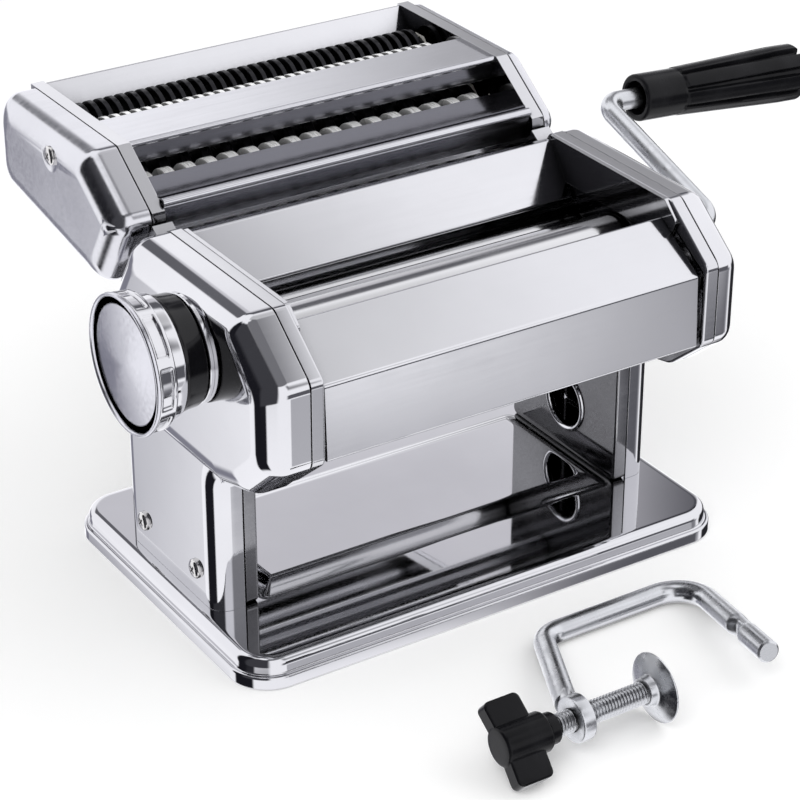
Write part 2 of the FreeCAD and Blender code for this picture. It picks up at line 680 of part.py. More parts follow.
def bent_rod(points, radius, bends):
    """Round rod along straight runs joined by tangent arcs."""
    edges = []
    start = points[0]
    for i in range(1, len(points) - 1):
        before = (points[i - 1] - points[i]).normalize()
        after = (points[i + 1] - points[i]).normalize()
        half = 0.5 * before.getAngle(after)
        reach = bends[i - 1] / math.tan(half)
        bisector = (before + after).normalize()
        middle = points[i] + bisector * (bends[i - 1] / math.sin(half) - bends[i - 1])
        first = points[i] + before * reach
        last = points[i] + after * reach
        edges.append(Part.makeLine(start, first))
        edges.append(Part.Arc(first, middle, last).toShape())
        start = last
    edges.append(Part.makeLine(start, points[-1]))
    lead = (points[1] - points[0]).normalize()
    side = lead.cross(Vector(0.1, 0.3, 1)).normalize() * radius
    turn = FreeCAD.Rotation(lead, 360 / ROD_SIDES)
    ring = [side]
    for _ in range(ROD_SIDES - 1):
        ring.append(turn.multVec(ring[-1]))
    section = Part.makePolygon([points[0] + arm for arm in ring + ring[:1]])
    return Part.Wire(edges).makePipeShell([section], True, False)


CRANK_END = DRIVE_END - 13.6
ELBOW = polar(DRIVE_AXIS, CRANK_REACH, CRANK_LIFT)
GRIP_LENGTH = 78.0
GRIP_AXIS = Vector(math.cos(math.radians(GRIP_DROOP)), 0, -math.sin(math.radians(GRIP_DROOP)))
GRIP_START = spot(CRANK_PLANE, *ELBOW) + GRIP_AXIS * ((GRIP_FACE - CRANK_PLANE) / GRIP_AXIS.x)


def crank_rod():
    """Bent steel rod: flatted end, arm, and a spindle with a collar for the grip."""
    corner = spot(CRANK_PLANE, *ELBOW)
    spindle_end = GRIP_START + GRIP_AXIS * (GRIP_LENGTH - 10.6)
    points = [spot(CRANK_END, *DRIVE_AXIS), spot(CRANK_PLANE, *DRIVE_AXIS), corner, spindle_end]
    crank = bent_rod(points, ROD_R, [9.0, 7.0])
    flat = bar(CRANK_END - 1, DRIVE_END + 1, DRIVE_AXIS[0] - 8, DRIVE_AXIS[0] + 8,
               DRIVE_AXIS[1] + SOCKET_FLAT - 0.05, DRIVE_AXIS[1] + 8)
    return joined([crank.cut(flat), along_grip(star_bar(5.8, 6, -2.4, -0.2))])


def along_grip(shape):
    """Piece drawn along +X from the origin, put on the grip spindle."""
    placed = turned(shape, GRIP_DROOP, Vector(0, 0, 0), Vector(0, 1, 0))
    placed.translate(GRIP_START)
    return placed


def star_bar(radius, sides, x0, x1):
    """Many-sided bar along +X from the origin."""
    ring = [Vector(x0, *polar((0, 0), radius, 360 * i / sides)) for i in range(sides)]
    return Part.Face(Part.makePolygon(ring + ring[:1])).extrude(Vector(x1 - x0, 0, 0))


GRIP_RIBS = 8


def crank_grip():
    """Moulded grip: smooth barrel, then long ribs that stand off a narrow core."""
    core = stacked([(0, 8.6), (0.8, 9.2), (19, 9.2), (20.5, 7.9), (GRIP_LENGTH, 9.9)], 16)
    side = [(18.0, 7.0), (19.5, 9.4), (GRIP_LENGTH - 10, 12.6), (GRIP_LENGTH, 12.9), (GRIP_LENGTH, 7.0)]
    points = [Vector(x, -2.6, r) for x, r in side]
    edges = [Part.makeLine(points[i], points[(i + 1) % len(points)]) for i in range(len(points))]
    rib = Part.Face(Part.Wire(edges)).extrude(Vector(0, 5.2, 0))
    ribs = [turned(rib, 360 / GRIP_RIBS * i, Vector(0, 0, 0), Vector(1, 0, 0)) for i in range(GRIP_RIBS)]
    grip = joined([core] + ribs)
    bore = star_bar((ROD_R + RUN_FIT) / math.cos(math.pi / 12), 12, -1, GRIP_LENGTH)
    return along_grip(grip.cut(bore).cut(star_bar(7.6, 12, GRIP_LENGTH - 11, GRIP_LENGTH + 1)))


def grip_retainer():
    """Riveted washer that holds the grip on its spindle."""
    return along_grip(star_bar(6.2, 12, GRIP_LENGTH - 10.6, GRIP_LENGTH - 9.2))


# Cutter head
def rail_spot(along, out, x):
    """Point beside the rear slant: along it from the body's rear corner, and out from it."""
    return spot(x, 66, 96) + SLANT * along + SLANT_OUT * out


def rail_bar(a0, a1, n0, n1, x0, x1):
    """Block in the frame of the rear slant."""
    corners = [rail_spot(a0, n0, x0), rail_spot(a1, n0, x0), rail_spot(a1, n1, x0), rail_spot(a0, n1, x0)]
    return Part.Face(Part.makePolygon(corners + [corners[0]])).extrude(Vector(x1 - x0, 0, 0))


RAIL_START = 3.0
RAIL_END = 26.5


def cutter_rails():
    """T-shaped rails on the rear edges of the body."""
    rail = joined([rail_bar(RAIL_START, RAIL_END, 0, 2.6, 78.1, 79.9),
                   rail_bar(RAIL_START, RAIL_END, 2.6, 4.2, 76.7, 81.3)])
    return Part.Compound([rail, mirror(rail)])


def cutter_plate():
    """Right end plate of the cutter head, with the channel that slides on the rail."""
    plate = side_plate(CUTTER_PROFILE)
    channel = rail_bar(0.5, RAIL_END + 1.5, 0.4, 6.4, 75.1, 82.9)
    channel = channel.cut(rail_bar(0, RAIL_END, 2.4, 4.4, 76.3, 81.7))
    channel = channel.cut(rail_bar(0, RAIL_END, 0, 3, 77.7, 80.3))
    seam = rail_bar(1.0, 24.0, 6.0, 7.4, PLATE_IN, PLATE_OUT - 0.5)
    plate = joined([plate, channel, seam])
    for centre in (WIDE_FRONT, WIDE_REAR, FINE_FRONT, FINE_REAR):
        plate = plate.cut(post(*centre, 7.5, PLATE_IN - 2, PLATE_IN + PLATE_SHEET + 1, BUSH_SIDES))
    return plate


BUSH_SIDES = 8
CUTTER_RODS = [(72.0, 108.0), (145.0, 117.0)]
CUTTER_SCREWS = [(106.0, 134.5)]
CUTTER_SOCKETS = (WIDE_FRONT, FINE_FRONT)


def cutter_cover(depth_x, radius, sockets):
    """Pressed end shell of the cutter head."""
    outer, inner = pressed_pan(CUTTER_PROFILE, depth_x, SHEET, radius, COVER_IN)
    shell = outer.cut(inner)
    for y, z in CUTTER_SCREWS:
        shell = shell.cut(post(y, z, 2.5, depth_x - 3, depth_x + 1, 6))
    for centre in sockets:
        shell = shell.cut(hole(*centre, CORE_R + 0.5, depth_x - 3, depth_x + 1))
    return shell


def cutter_screws():
    screws = []
    for y, z in CUTTER_SCREWS:
        screws.append(mirror(pan_screw(y, z, LEFT_CUTTER_OUT, LEFT_CUTTER_OUT - PLATE_IN - PLATE_SHEET)))
        screws.append(pan_screw(y, z, RIGHT_CUTTER_OUT, RIGHT_CUTTER_OUT - PLATE_IN - PLATE_SHEET))
    return Part.Compound(screws)


def cutter_rods():
    return Part.Compound([post(y, z, 3.0, -PLATE_IN, PLATE_IN) for y, z in CUTTER_RODS])


def cutter_back_plate():
    """Rear skin folded over the top and down to the rear slot."""
    sheet = folded_sheet([(150.4, 110.0), (150.4, 127.0), (149.4, 131.5), (150.6, 141.4)], SHEET, PLATE_IN)
    bead = post(149.6, 142.2, 1.2, -PLATE_IN, PLATE_IN, 8)
    return joined([sheet, bead])


def cutter_middle_plate():
    """Flat top between the two slots, turned down at the front."""
    path = [(86.0, 131.7), (83.2, 142.4), (108.6, 142.4), (109.4, 137.4)]
    sheet = folded_sheet(path, SHEET, PLATE_IN, -1)
    bead = post(84.0, 141.8, 1.3, -PLATE_IN, PLATE_IN, 8)
    return joined([sheet, bead])


def cutter_front_plate():
    """Front rail with a rolled bead and the slope that leads to the wide cutters."""
    sheet = folded_sheet([(59.9, 122.6), (58.9, 129.6), (76.3, 127.8)], SHEET, PLATE_IN, -1)
    bead = post(60.4, 128.7, 1.7, -PLATE_IN, PLATE_IN, 10)
    return joined([sheet, bead])


def cutter_roller(centre, pitch, count, shift, sides, core_sides, socket):
    """Grooved roller: square-edged discs with gaps that take the discs of its partner."""
    width = pitch / 2 - 2 * DISC_PLAY
    first = -pitch * (count - 0.5) / 2 + shift * pitch / 2
    disc_outline = [polar(centre, DISC_R, 360 * (i + 0.5) / sides) for i in range(sides)]
    core_outline = [polar(centre, CORE_R, 360 * (i + 0.5) / core_sides) for i in range(core_sides)]
    half = pitch * (count + 0.5) / 2 + 0.3
    pieces = [prism(core_outline, -half, half)]
    for i in range(count):
        middle = first + pitch * i
        pieces.append(prism(disc_outline, middle - width / 2, middle + width / 2))
    pieces.append(post(*centre, CORE_R, -GEAR_IN, -half, BUSH_SIDES))
    if socket:
        pieces.append(post(*centre, CORE_R, half, RIGHT_CUTTER_OUT - 0.6, BUSH_SIDES))
    else:
        pieces.append(rod(*centre, CORE_R, half, PLATE_OUT))
    roller = joined(pieces)
    if socket:
        roller = roller.cut(socket_bore(centre, RIGHT_CUTTER_OUT - 0.6, 14.0))
    return roller


def cutter_gears(front, rear):
    """Pair of small gears at the left ends of two cutter rollers."""
    line = math.degrees(math.atan2(rear[1] - front[1], rear[0] - front[0]))
    half = math.hypot(rear[1] - front[1], rear[0] - front[0]) / 2
    ends = (-GEAR_OUT + 2.0, -GEAR_IN)
    first = gear(front, half, 11, 1.3, *ends, line)
    second = gear(rear, half, 11, 1.3, *ends, line + 180 + 180 / 11)
    return first, second


def comb(centre, pitch, count, shift, lean):
    """Flat comb whose teeth reach between the discs and touch the core."""
    toward = polar((0, 0), 1, 270 + 20 * lean)
    out = polar((0, 0), 1, 180 + 20 if lean > 0 else -20)
    touch = (centre[0] + out[0] * (CORE_R + 0.15), centre[1] + out[1] * (CORE_R + 0.15))
    width = pitch / 2 - 2 * DISC_PLAY
    first = -pitch * (count - 0.5) / 2 + shift * pitch / 2 - pitch / 2

    def place(x, along, depth=0.0):
        y = touch[0] + toward[0] * along + out[0] * depth
        z = touch[1] + toward[1] * along + out[1] * depth
        return spot(x, y, z)

    root = 8.6
    spine = 12.6
    points = [place(-PLATE_IN, spine), place(-PLATE_IN, root)]
    for i in range(count + 1):
        middle = first + pitch * i
        left = max(middle - width / 2 + 0.15, -PLATE_IN + 2)
        right = min(middle + width / 2 - 0.15, PLATE_IN - 2)
        if right - left < 0.8:
            continue
        points += [place(left, root), place((left + right) / 2, 0), place(right, root)]
    points += [place(PLATE_IN, root), place(PLATE_IN, spine)]
    face = Part.Face(Part.makePolygon(points + [points[0]]))
    return face.extrude(Vector(0, out[0] * 1.2, out[1] * 1.2))


def cutter_bushes():
    bushes = []
    for centre in (WIDE_FRONT, WIDE_REAR, FINE_FRONT, FINE_REAR):
        right = sleeve(*centre, 7.5, CORE_R + RUN_FIT, PLATE_IN, PLATE_IN + 3.2, BUSH_SIDES)
        bushes += [right, mirror(right)]
    return Part.Compound(bushes)


# Table clamp, lying in front of the base
CLAMP_BACK = Vector(0.2, LEG_FRONT_Y - 62.0, 4.0)
CLAMP_WIDTH = 64.3
CLAMP_TILT = 8.8
SCREW_REACH = 56.1
EYE_X = -25.8


def on_clamp(u, w, h=0.0):
    """Point of the clamp: u along its back bar, w along its arms, h off its plane."""
    tilt = math.radians(CLAMP_TILT)
    level = -w * math.cos(tilt) - h * math.sin(tilt)
    return CLAMP_BACK + Vector(u, level, w * math.sin(tilt) + h * math.cos(tilt))


SCREW_LEFT = -38.0
SCREW_RIGHT = 4.0


def screw_line(x):
    """Point on the axis of the clamp screw."""
    point = on_clamp(0, SCREW_REACH)
    return Vector(x, point.y, point.z)


def across(x0, x1, radius, sides):
    """Many-sided bar on the axis of the clamp screw."""
    middle = screw_line(0)
    return post(middle.y - LEG_FRONT_Y, middle.z - FLOOR_Z, radius, x0, x1, sides)


def clamp_frame():
    """Bent rod with a flattened eye for the screw and a notched tip."""
    runs = [on_clamp(EYE_X + 4.0, SCREW_REACH - 11), on_clamp(0, 0), on_clamp(CLAMP_WIDTH, 0),
            on_clamp(CLAMP_WIDTH - 14.0, 61.0)]
    bar_body = bent_rod(runs, ROD_R, [11.0, 12.0])
    eye_centre = on_clamp(EYE_X, SCREW_REACH)
    eye = across(eye_centre.x - 2.5, eye_centre.x + 2.5, 8.0, 16)
    shoulder = on_clamp(EYE_X + 5.5, SCREW_REACH - 14)
    side = Vector(0, math.sin(math.radians(CLAMP_TILT)), math.cos(math.radians(CLAMP_TILT)))
    strap_ends = [(on_clamp(EYE_X, SCREW_REACH), 8.0), (shoulder, 3.6)]
    wires = []
    for centre, reach in strap_ends:
        near = centre - Vector(2.5, 0, 0)
        corners = [near - side * reach, near + side * reach,
                   near + side * reach + Vector(5, 0, 0), near - side * reach + Vector(5, 0, 0)]
        wires.append(Part.makePolygon(corners + [corners[0]]))
    strap = Part.makeLoft(wires, True, True)
    frame = joined([bar_body, strap, eye])
    bore = across(eye_centre.x - 6, eye_centre.x + 6, (ROD_R + RUN_FIT) / math.cos(math.pi / 12), 12)
    notch_at = on_clamp(CLAMP_WIDTH - 14.0 * 42 / 61 - 4.4, 42.0)
    notch = Part.makeCylinder(3.2, 20, notch_at - side * 10, side)
    return frame.cut(bore).cut(notch)


def clamp_screw():
    """Threaded rod that carries the wing at one end and the pad at the other."""
    return across(SCREW_LEFT, SCREW_RIGHT, ROD_R, 12)


def clamp_pad():
    """Dished pad that swivels on the end of the screw."""
    end = SCREW_RIGHT
    cone = [(end - 4.0, 5.6), (end - 0.5, 6.4), (end + 3.2, 12.3), (end + 4.4, 12.3), (end + 2.0, 6.5)]
    pad = stacked(cone, 16, screw_line(0))
    return pad.cut(across(end - 5, end, (ROD_R + RUN_FIT) / math.cos(math.pi / 12), 12))


WING_ANGLE = 41.0


def clamp_wing():
    """Black wing knob: round hub with two broad flat wings."""
    hub = across(SCREW_LEFT - 18.5, SCREW_LEFT + 3.0, 7.0, 16)
    wings = []
    for turn in (WING_ANGLE, WING_ANGLE + 180):
        blade = Part.makeBox(16.0, 16.6, 6.4, screw_line(SCREW_LEFT - 19.0) - Vector(0, 0, 3.2))
        far = blade.BoundBox.YMax
        rims = [e for e in blade.Edges if all(abs(v.Y - far) < 1e-6 for v in e.Vertexes)]
        blade = blade.makeChamfer(1.8, rims)
        wings.append(turned(blade, turn, screw_line(0), Vector(1, 0, 0)))
    return joined([hub] + wings).cut(across(SCREW_LEFT, SCREW_LEFT + 12, ROD_R, 12))


def build():
    os.makedirs("parts", exist_ok=True)
    save("base_tray", base_tray())
    save("base_screws", base_screws())
    save("rubber_feet", rubber_feet())
    plate = frame_plate()
    save("frame_plate_right", plate)
    save("frame_plate_left", mirror(plate))
    save("side_cover_left", left_cover())
    save("side_cover_right", right_cover())
    save("cover_screws", cover_screws())
    save("socket_collar", socket_collar())
    save("front_hood", front_hood())
    save("feed_plate", feed_plate())
    save("rear_apron", rear_apron())
    save("front_scraper", front_scraper())
    save("tie_rods", tie_rods())
    save("tie_nuts", tie_nuts())
    save("roller_bushes", roller_bushes())
    save("index_ring", index_ring())
    save("cutter_rails", cutter_rails())

    drive_gear, rear_gear = roller_gears()
    save("drive_roller", drive_roller())
    save("drive_gear", drive_gear)
    save("rear_roller", rear_roller())
    save("rear_gear", rear_gear)
    save("carrier_right", carrier())
    save("carrier_left", carrier_left())
    save("carrier_bars", carrier_bars())
    save("rear_scraper", rear_scraper())
    save("gap_shaft", gap_shaft())
    save("knob_body", knob_body())
    save("knob_neck", knob_neck())
    save("knob_band", knob_band())
    save("knob_cap", knob_cap())

    save("crank_rod", crank_rod())
    save("crank_grip", crank_grip())
    save("grip_retainer", grip_retainer())

    head_plate = cutter_plate()
    save("cutter_plate_right", head_plate)
    save("cutter_plate_left", mirror(head_plate))
    save("cutter_cover_right", cutter_cover(RIGHT_CUTTER_OUT, 4.2, CUTTER_SOCKETS))
    save("cutter_cover_left", mirror(cutter_cover(LEFT_CUTTER_OUT, 6.6, ())))
    save("cutter_screws", cutter_screws())
    save("cutter_rods", cutter_rods())
    save("cutter_bushes", cutter_bushes())
    save("cutter_back_plate", cutter_back_plate())
    save("cutter_middle_plate", cutter_middle_plate())
    save("cutter_front_plate", cutter_front_plate())
    sets = [("wide", WIDE_FRONT, WIDE_REAR, WIDE_PITCH, WIDE_DISCS, 8, 4),
            ("fine", FINE_FRONT, FINE_REAR, FINE_PITCH, FINE_DISCS, 6, 3)]
    for name, front, rear, pitch, count, sides, core_sides in sets:
        front_gear, back_gear = cutter_gears(front, rear)
        save(name + "_front_roller", cutter_roller(front, pitch, count, 0, sides, core_sides, True))
        save(name + "_rear_roller", cutter_roller(rear, pitch, count, 1, sides, core_sides, False))
        save(name + "_front_gear", front_gear)
        save(name + "_rear_gear", back_gear)
        save(name + "_front_comb", comb(front, pitch, count, 0, 1))
        save(name + "_rear_comb", comb(rear, pitch, count, 1, -1))

    save("clamp_frame", clamp_frame())
    save("clamp_screw", clamp_screw())
    save("clamp_pad", clamp_pad())
    save("clamp_wing", clamp_wing())


build()
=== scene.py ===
import logging
import math
from dataclasses import dataclass
from enum import Enum
from typing import Callable, ClassVar, Optional, Sequence

import bmesh
import bpy
from mathutils import Matrix, Vector
from mathutils.geometry import tessellate_polygon


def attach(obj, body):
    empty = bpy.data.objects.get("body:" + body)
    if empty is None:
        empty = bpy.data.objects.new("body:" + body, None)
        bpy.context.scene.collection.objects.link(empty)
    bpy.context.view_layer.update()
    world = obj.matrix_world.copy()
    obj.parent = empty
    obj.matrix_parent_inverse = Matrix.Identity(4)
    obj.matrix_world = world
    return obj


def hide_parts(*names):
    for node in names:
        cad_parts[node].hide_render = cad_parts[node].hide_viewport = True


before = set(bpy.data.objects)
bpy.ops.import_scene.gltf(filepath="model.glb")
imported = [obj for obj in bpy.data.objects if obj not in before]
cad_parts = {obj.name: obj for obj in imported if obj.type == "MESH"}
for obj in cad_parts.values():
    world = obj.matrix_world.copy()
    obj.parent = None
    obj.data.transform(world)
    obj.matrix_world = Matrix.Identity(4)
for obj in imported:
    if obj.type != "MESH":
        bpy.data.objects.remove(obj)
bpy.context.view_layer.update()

log = logging.getLogger("pasta_machine")

MM = 0.001
TURN = 2.0 * math.pi
LEG_FRONT_Y = -31.0
FLOOR_Z = 11.3
FLAT_MARGIN = 0.7
CORNER_STEPS = 10
SAME_POINT = 1e-7

Flat = tuple[float, float]
Corner = tuple[float, float, float]
Colour = tuple[float, float, float]
Socket = bpy.types.NodeSocket
Wave = Callable[[float, float, float], float]


class Side(Enum):
    """End of the machine that a piece belongs to."""

    LEFT = -1
    RIGHT = 1

    def x(self, distance: float) -> float:
        """Distance from the middle of the machine as an x position."""
        return self.value * distance


# Plane geometry of the side sketches
def spot(x: float, y: float, z: float) -> Vector:
    """Point of the model, in millimetres, from a side sketch position."""
    return Vector((x, LEG_FRONT_Y + y, FLOOR_Z + z))


def unit(a: Sequence[float], b: Sequence[float]) -> Flat:
    """Unit vector in a sketch from a to b."""
    length = math.hypot(b[0] - a[0], b[1] - a[1])
    return ((b[0] - a[0]) / length, (b[1] - a[1]) / length)


def polar(centre: Sequence[float], radius: float, degrees: float) -> Flat:
    """Sketch position at a radius and an angle from +y towards +z."""
    angle = math.radians(degrees)
    return (centre[0] + radius * math.cos(angle), centre[1] + radius * math.sin(angle))


def circle(centre: Sequence[float], radius: float, sides: int = 48) -> list[Flat]:
    """Closed round outline."""
    return [polar(centre, radius, 360.0 * i / sides) for i in range(sides)]


def arc(centre: Flat, start: Flat, angle: float, steps: int) -> list[Flat]:
    """Points of an arc, both ends included.

    Args:
        centre: Middle of the arc.
        start: First point of the arc.
        angle: Angle in radians that the arc turns through, with its sign.
        steps: Number of straight pieces.

    Returns:
        The points from the start on.
    """
    points = []
    away = (start[0] - centre[0], start[1] - centre[1])
    for k in range(steps + 1):
        c = math.cos(angle * k / steps)
        s = math.sin(angle * k / steps)
        points.append((centre[0] + away[0] * c - away[1] * s,
                       centre[1] + away[0] * s + away[1] * c))
    return points


def rounded(here: Flat, before: Flat, after: Flat, radius: float, steps: int) -> list[Flat]:
    """Arc that rounds one corner.

    Args:
        here: The sharp corner.
        before: Unit direction of travel that arrives at the corner.
        after: Unit direction of travel that leaves it.
        radius: Radius of the rounding.
        steps: Number of straight pieces in the arc.

    Returns:
        The points of the arc in the direction of travel.
    """
    cross = before[0] * after[1] - before[1] * after[0]
    dot = max(-1.0, min(1.0, before[0] * after[0] + before[1] * after[1]))
    angle = math.acos(dot)
    spin = 1.0 if cross > 0 else -1.0
    reach = radius * math.tan(angle / 2)
    start = (here[0] - before[0] * reach, here[1] - before[1] * reach)
    centre = (start[0] - before[1] * spin * radius, start[1] + before[0] * spin * radius)
    return arc(centre, start, spin * angle, steps)


def level(corners: Sequence[Corner], inset: float = 0.0, steps: int = 6,
          least: float = 0.5) -> list[Flat]:
    """Outline drawn in by an inset, each corner rounded by the same number of points.

    Args:
        corners: Sketch corners as (y, z, radius).
        inset: How far the outline is drawn in, in millimetres.
        steps: Straight pieces per rounded corner.
        least: Smallest corner radius that is left after the inset.

    Returns:
        The closed outline, always with the same number of points.
    """
    count = len(corners)
    following = [*corners[1:], corners[0]]
    area = sum(a[0] * b[1] - b[0] * a[1] for a, b in zip(corners, following))
    turn = 1.0 if area > 0 else -1.0
    points: list[Flat] = []
    for i, (y, z, radius) in enumerate(corners):
        before = unit(corners[i - 1], corners[i])
        after = unit(corners[i], corners[(i + 1) % count])
        dot = before[0] * after[0] + before[1] * after[1]
        reach = inset * turn / (1.0 + dot)
        here = (y - (before[1] + after[1]) * reach, z + (before[0] + after[0]) * reach)
        convex = (before[0] * after[1] - before[1] * after[0]) * turn > 0
        bend = max(least, radius - inset) if convex else radius + inset
        points += rounded(here, before, after, bend, steps)
    return points


def bent(path: Sequence[Sequence[float]], radii: Sequence[float], steps: int = 8) -> list[Flat]:
    """Open path whose inner corners are bent by the radii."""
    points = [tuple(path[0][:2])]
    for i in range(1, len(path) - 1):
        before = unit(path[i - 1], path[i])
        after = unit(path[i], path[i + 1])
        points += rounded(tuple(path[i][:2]), before, after, radii[i - 1], steps)
    points.append(tuple(path[-1][:2]))
    return points


def curl(start: Flat, heading: Flat, radius: float, degrees: float, side: int,
         steps: int = 20) -> list[Flat]:
    """Rolled edge of a sheet that carries on from its last point.

    Args:
        start: Last point of the flat sheet.
        heading: Unit direction in which the sheet runs there.
        radius: Outer radius of the roll.
        degrees: How far the sheet is rolled.
        side: 1 to roll to the left of the heading, -1 to the right.
        steps: Straight pieces of the roll.

    Returns:
        The points after the start.
    """
    centre = (start[0] - heading[1] * side * radius, start[1] + heading[0] * side * radius)
    return arc(centre, start, side * math.radians(degrees), steps)[1:]


def strip(path: Sequence[Flat], thickness: float, side: int) -> list[Flat]:
    """Closed section of a sheet whose outer face follows a path.

    Args:
        path: Outer face from one free edge to the other.
        thickness: Sheet thickness in millimetres.
        side: 1 when the sheet lies to the left of the direction of travel, -1 to the right.

    Returns:
        The closed outline of the section.
    """
    near = []
    far = []
    count = len(path)
    for i, here in enumerate(path):
        before = unit(path[i - 1], here) if i else unit(here, path[1])
        after = unit(here, path[i + 1]) if i < count - 1 else before
        dot = before[0] * after[0] + before[1] * after[1]
        reach = thickness * side / max(0.3, 1.0 + dot)
        near.append(here)
        far.append((here[0] - (before[1] + after[1]) * reach,
                    here[1] + (before[0] + after[0]) * reach))
    return near + far[::-1]


def bent_line(points: Sequence[Vector], radii: Sequence[float], steps: int = 14) -> list[Vector]:
    """Path in space along straight runs joined by tangent arcs."""
    path = [points[0].copy()]
    for i in range(1, len(points) - 1):
        before = (points[i - 1] - points[i]).normalized()
        after = (points[i + 1] - points[i]).normalized()
        half = 0.5 * before.angle(after)
        bisector = (before + after).normalized()
        centre = points[i] + bisector * (radii[i - 1] / math.sin(half))
        start = points[i] + before * (radii[i - 1] / math.tan(half)) - centre
        axis = (-before).cross(after).normalized()
        sweep = math.pi - 2 * half
        for k in range(steps + 1):
            path.append(centre + Matrix.Rotation(sweep * k / steps, 3, axis) @ start)
    path.append(points[-1].copy())
    return path


def portion(value: float) -> float:
    """Value held between 0 and 1."""
    return min(1.0, max(0.0, value))


def smooth(share: float) -> float:
    """Share from 0 to 1 that starts and ends gently."""
    return share * share * (3 - 2 * share)


def aside(angle: float, sector: float) -> float:
    """Angle to the middle of the nearest of equal sectors round a circle."""
    return abs((angle + sector / 2) % sector - sector / 2)


# Finishes
class Tree:
    """Shader nodes that are laid down step by step."""

    def __init__(self, nodes: bpy.types.NodeTree) -> None:
        """Start from an empty tree."""
        self.tree = nodes
        self.tree.nodes.clear()

    def node(self, kind: str, **settings: object) -> bpy.types.Node:
        """Add a node and set its attributes."""
        node = self.tree.nodes.new(kind)
        for key, value in settings.items():
            setattr(node, key, value)
        return node

    def join(self, source: Socket, target: Socket) -> None:
        """Connect two sockets."""
        self.tree.links.new(source, target)

    def sum(self, kind: str, *values: Socket | float) -> Socket:
        """Maths operation on sockets and plain numbers."""
        step = self.node("ShaderNodeMath", operation=kind)
        for value, target in zip(values, step.inputs):
            if isinstance(value, float):
                target.default_value = value
            else:
                self.join(value, target)
        return step.outputs["Value"]

    def blend(self, share: Socket, first: Socket | Colour, second: Socket | Colour) -> Socket:
        """Mix of two colours, each a socket or a plain tone."""
        mix = self.node("ShaderNodeMix", data_type="RGBA")
        self.join(share, mix.inputs["Factor"])
        for value, target in ((first, mix.inputs[6]), (second, mix.inputs[7])):
            if isinstance(value, tuple):
                target.default_value = (*value, 1.0)
            else:
                self.join(value, target)
        return mix.outputs[2]


class Recipe(Tree):
    """Node tree of one finish."""

    # Colour of the painted shade at the bottom of narrow gaps.
    painted_shade_tone: ClassVar[Colour] = (0.02, 0.02, 0.02)

    def __init__(self, name: str) -> None:
        """Start an empty principled finish."""
        self.material = bpy.data.materials.new(name)
        self.material.use_nodes = True
        super().__init__(self.material.node_tree)
        self.shader = self.node("ShaderNodeBsdfPrincipled")
        self.output = self.node("ShaderNodeOutputMaterial")
        self.join(self.shader.outputs["BSDF"], self.output.inputs["Surface"])
        self.place = self.node("ShaderNodeTexCoord").outputs["Object"]

    def noise(self, scale: float, stretch: Sequence[float] = (1, 1, 1),
              detail: float = 4.0) -> Socket:
        """Noise in the model frame.

        Args:
            scale: Features per metre.
            stretch: Factor on the scale along each axis.
            detail: Octaves of finer noise.

        Returns:
            The socket with values about 0.5.
        """
        mapping = self.node("ShaderNodeMapping")
        mapping.inputs["Scale"].default_value = stretch
        self.join(self.place, mapping.inputs["Vector"])
        noise = self.node("ShaderNodeTexNoise")
        noise.inputs["Scale"].default_value = scale
        noise.inputs["Detail"].default_value = detail
        self.join(mapping.outputs["Vector"], noise.inputs["Vector"])
        return noise.outputs["Fac"]

    def spread(self, source: Socket, low: float, high: float,
               start: float = 0.3, end: float = 0.7) -> Socket:
        """Map a noise value to a range.

        Args:
            source: Value to map.
            low: Result at the start value.
            high: Result at the end value.
            start: Value that gives the low result.
            end: Value that gives the high result.

        Returns:
            The mapped value.
        """
        node = self.node("ShaderNodeMapRange")
        node.inputs["From Min"].default_value = start
        node.inputs["From Max"].default_value = end
        node.inputs["To Min"].default_value = low
        node.inputs["To Max"].default_value = high
        self.join(source, node.inputs["Value"])
        return node.outputs["Result"]

    def tone(self, dark: Colour, light: Colour, value: Socket) -> Socket:
        """Colour between two tones."""
        ramp = self.node("ShaderNodeValToRGB")
        ramp.color_ramp.elements[0].color = (*dark, 1.0)
        ramp.color_ramp.elements[1].color = (*light, 1.0)
        self.join(value, ramp.inputs["Fac"])
        return ramp.outputs["Color"]

    def shade(self, colour: Socket, reach: float, alone: bool = False) -> Socket:
        """Paint shade into a colour in narrow gaps, found by ambient occlusion.

        Args:
            colour: Colour of the open surface.
            reach: Width in millimetres below which a gap turns dark.
            alone: True when only the piece's own gaps count, not those to its neighbours.

        Returns:
            The darkened colour.
        """
        gap = self.node("ShaderNodeAmbientOcclusion", samples=8, only_local=alone)
        gap.inputs["Distance"].default_value = reach * MM
        share = self.spread(gap.outputs["AO"], 0.0, 1.0, 0.3, 0.8)
        return self.blend(share, self.painted_shade_tone, colour)

    def relief(self, height: Socket, depth: float, edge: float,
               below: Optional[Socket] = None) -> Socket:
        """Bump over softened edges.

        Args:
            height: Height from 0 to 1.
            depth: Depth of the relief in millimetres.
            edge: Radius of the softened edges in millimetres.
            below: Normal of a coarser relief to build on.

        Returns:
            The normal socket.
        """
        bump = self.node("ShaderNodeBump")
        bump.inputs["Strength"].default_value = 1.0
        bump.inputs["Distance"].default_value = depth * MM
        self.join(height, bump.inputs["Height"])
        if below is None:
            soft = self.node("ShaderNodeBevel", samples=4)
            soft.inputs["Radius"].default_value = edge * MM
            below = soft.outputs["Normal"]
        self.join(below, bump.inputs["Normal"])
        return bump.outputs["Normal"]


class Finish:
    """Common part of every finish: each is made once and shared."""

    name: str
    made: ClassVar[dict[str, bpy.types.Material]] = {}

    def material(self) -> bpy.types.Material:
        """Material of this finish, made on first use."""
        if self.name not in Finish.made:
            Finish.made[self.name] = self.mix()
        return Finish.made[self.name]


